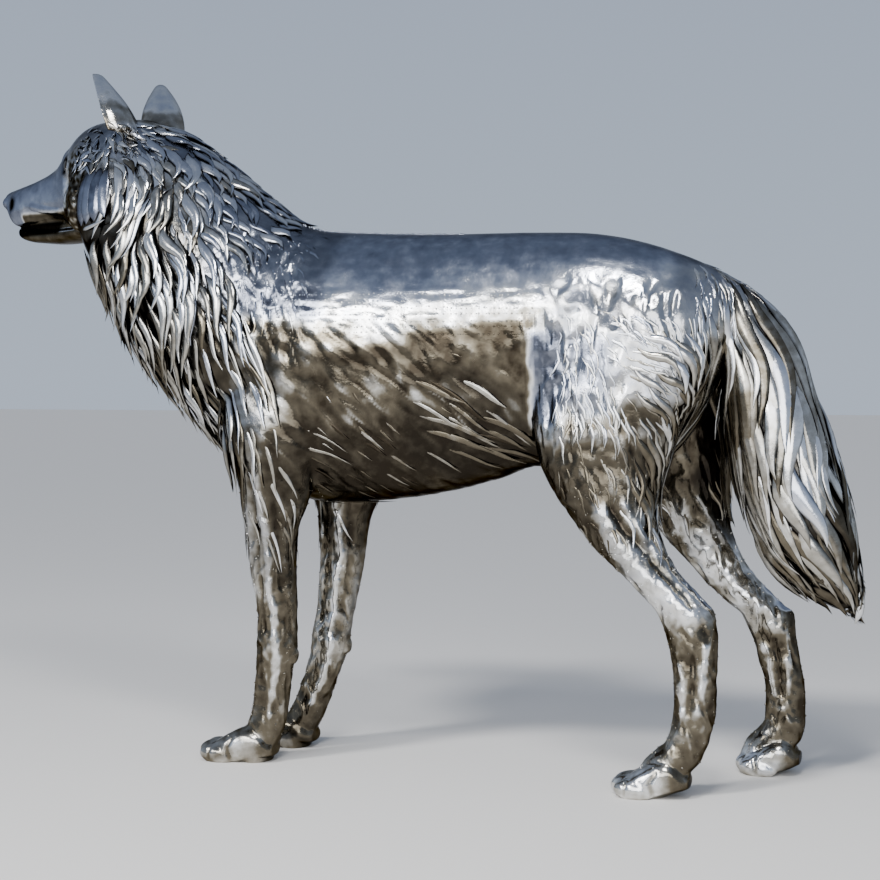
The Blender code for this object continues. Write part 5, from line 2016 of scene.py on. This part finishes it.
# ---- the wolf ----
@dataclass
class Wolf:
    """The whole sculpture, set into the part's frame."""

    low: Vector
    high: Vector
    head_frame: HeadFrame = field(default_factory=HeadFrame)

    def skin(self) -> Skin:
        """Gather the skin with its legs and paws.

        Returns:
            The skin, not yet built.
        """
        fore = Table((
            (1.62, -0.56, 0.12, 0.13, 0.06), (1.5, -0.58, 0.19, 0.165, 0.11),
            (1.34, -0.59, 0.215, 0.187, 0.132), (1.2, -0.6, 0.19, 0.192, 0.128),
            (1.1, -0.6, 0.152, 0.19, 0.116), (1.01, -0.606, 0.134, 0.185, 0.104),
            (0.915, -0.62, 0.107, 0.18, 0.093), (0.787, -0.62, 0.092, 0.174, 0.084),
            (0.65, -0.609, 0.082, 0.168, 0.076), (0.55, -0.605, 0.076, 0.163, 0.072),
            (0.434, -0.61, 0.078, 0.158, 0.078), (0.384, -0.618, 0.072, 0.156, 0.074),
            (0.28, -0.632, 0.071, 0.153, 0.068), (0.2, -0.643, 0.069, 0.151, 0.07),
            (0.13, -0.66, 0.074, 0.15, 0.078), (0.04, -0.688, 0.064, 0.15, 0.082),
            (-0.012, -0.698, 0.054, 0.15, 0.076),
        ))
        fore_shift = Table((
            (1.62, 0.06), (1.2, 0.135), (1.01, 0.155), (0.78, 0.154), (0.62, 0.124), (0.47, 0.102),
            (0.37, 0.096), (0.23, 0.066), (0.1, 0.04), (-0.02, 0.034),
        ))
        hind = Table((
            (1.86, 0.86, 0.12, 0.12, 0.05), (1.76, 0.8, 0.24, 0.15, 0.1),
            (1.6, 0.75, 0.315, 0.165, 0.125), (1.475, 0.73, 0.315, 0.17, 0.132),
            (1.335, 0.694, 0.274, 0.178, 0.13), (1.175, 0.676, 0.229, 0.19, 0.12),
            (1.043, 0.7, 0.178, 0.205, 0.106), (0.945, 0.745, 0.146, 0.216, 0.096),
            (0.857, 0.8, 0.125, 0.226, 0.086), (0.781, 0.872, 0.107, 0.234, 0.077),
            (0.709, 0.944, 0.105, 0.24, 0.07), (0.661, 0.99, 0.104, 0.244, 0.068),
            (0.599, 1.014, 0.096, 0.247, 0.067), (0.493, 1.029, 0.081, 0.25, 0.064),
            (0.414, 1.032, 0.077, 0.252, 0.062), (0.3, 1.031, 0.074, 0.254, 0.062),
            (0.2, 1.008, 0.076, 0.255, 0.068), (0.155, 0.975, 0.09, 0.255, 0.072),
            (0.118, 0.948, 0.1, 0.255, 0.076), (0.04, 0.895, 0.074, 0.255, 0.076),
            (-0.012, 0.88, 0.05, 0.255, 0.07),
        ))
        hind_shift = Table((
            (1.86, 0.0), (1.6, 0.02), (1.475, 0.06), (1.335, 0.11), (1.175, 0.165), (1.043, 0.19),
            (0.9, 0.178), (0.835, 0.17), (0.746, 0.15), (0.658, 0.15), (0.6, 0.196), (0.55, 0.205),
            (0.46, 0.22), (0.35, 0.243), (0.235, 0.262), (0.16, 0.284), (0.05, 0.288),
            (-0.02, 0.288),
        ))
        pad = (-0.543, 0.158, 0.415, 0.02, 0.026, 0.034)
        heel = (1.064, 0.246, 0.622, 0.038, 0.034, 0.056)
        far_heel = (1.068, 0.246, 0.572, 0.038, 0.034, 0.056)
        fore_creases = (
            Crease(((-0.639, 1.13), (-0.615, 0.94), (-0.6, 0.78), (-0.606, 0.69), (-0.59, 0.6),
                    (-0.584, 0.41), (-0.602, 0.29), (-0.628, 0.17)), 0.02, 0.008),
            Crease(((-0.69, 1.13), (-0.682, 0.94), (-0.69, 0.71), (-0.676, 0.5)), 0.018, 0.005),
            Crease(((-0.662, 1.08), (-0.648, 0.94), (-0.644, 0.72), (-0.63, 0.5)), 0.018, -0.006),
            Crease(((-0.57, 1.08), (-0.565, 0.94), (-0.56, 0.72), (-0.555, 0.52)), 0.018, -0.005),
            Crease(((-0.767, 0.0), (-0.78, 0.06), (-0.757, 0.11)), 0.014, -0.006),
            Crease(((-0.857, 0.0), (-0.852, 0.06), (-0.83, 0.105)), 0.01, -0.005),
        )
        hind_creases = (
            Crease(((0.4, 1.72), (0.412, 1.6), (0.44, 1.45), (0.476, 1.3), (0.505, 1.19)), 0.03,
                   0.002),
            Crease(((0.73, 1.04), (0.76, 0.981), (0.839, 0.892), (0.944, 0.776), (1.04, 0.67)),
                   0.02, -0.01),
            Crease(((0.775, 1.05), (0.851, 0.93), (0.94, 0.822), (1.03, 0.73), (1.08, 0.68)), 0.016,
                   0.006),
            Crease(((0.68, 1.05), (0.76, 0.88), (0.85, 0.785), (0.945, 0.71), (1.06, 0.61)), 0.05,
                   0.01),
            Crease(((0.992, 0.5), (0.994, 0.42), (0.995, 0.28)), 0.024, 0.007),
            Crease(((1.035, 0.53), (1.036, 0.45), (1.022, 0.29)), 0.016, -0.006),
            Crease(((1.08, 0.56), (1.073, 0.434), (1.048, 0.289)), 0.018, 0.006),
            Crease(((0.905, 0.0), (0.89, 0.06), (0.915, 0.11)), 0.014, -0.006),
            Crease(((0.8, 0.0), (0.805, 0.06), (0.83, 0.105)), 0.01, -0.005),
        )
        legs = [Leg(Side.LEFT, fore, pad, fore_creases), Leg(Side.LEFT, hind, heel, hind_creases),
                Leg(Side.RIGHT, fore, pad, fore_creases, fore_shift),
                Leg(Side.RIGHT, hind, far_heel, hind_creases[2:], hind_shift)]
        paws = [Paw(-0.922, -0.16, 0.305, heel=0.035), Paw(-0.878, 0.15, 0.305, heel=0.035),
                Paw(0.738, -0.262, 0.28, heel=0.045), Paw(1.1, 0.246, 0.24, heel=0.05)]
        return Skin(Head(self.head_frame), Trunk(self.head_frame), Tail(), legs, paws)

    def settle(self, item: Item) -> None:
        """Set a piece into the part's frame, inside the part's box, and ride it on the part.

        Args:
            item: the finished piece.
        """
        places = read_places(item) - np.array(CENTRE)
        write_places(item, np.clip(places, np.array(self.low), np.array(self.high)))
        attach(item, "root")
        count = sum(len(face.vertices) - 2 for face in item.data.polygons)
        LOG.info("%s: %d triangles", item.name, count)

    def build(self) -> None:
        """Build and dress every piece."""
        steel = Steel("polished_steel").material()
        skin = self.skin()
        whole = skin.build_whole()
        smooth, places = search_tree([whole]), read_places(whole)
        bpy.data.objects.remove(whole)
        skin.head.find_eyes(smooth)
        pieces = skin.build()
        coat = Coat(smooth, search_tree(pieces), places, self.head_frame)
        coat.grow()
        lock_steel = Steel("lock_steel", mottle=(30.0, 0.06), dents=0.12).material()
        self.settle(Weld().build(pieces, lock_steel))
        for item in pieces:
            item.data.materials.clear()
            item.data.materials.append(steel)
            # painted shade between the locks and in the eyes, nostrils and mouth
            coat.lay_painted_shade(item, skin.head.painted_shade(read_places(item)))
            smooth_shade(item, degrees=75.0)
            self.settle(item)
        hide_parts("wolf")
        eyes = skin.head.eyes()
        eyes.data.materials.append(EyeSteel().material())
        smooth_shade(eyes, degrees=40.0)
        self.settle(eyes)
        locks = LockTree()
        nodes = locks.build()
        for region in Region:
            item = coat.guides(region)
            locks.sweep(item, nodes, lock_steel, region)
            smooth_shade(item, degrees=50.0)
            self.settle(item)


def main() -> None:
    """Load the frame, build the wolf and set up the studio."""
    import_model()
    low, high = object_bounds()
    Wolf(low, high).build()
    studio = Studio()
    studio.place_floor()
    studio.hang_lights()
    studio.set_camera()


if __name__ == "__main__":
    main()
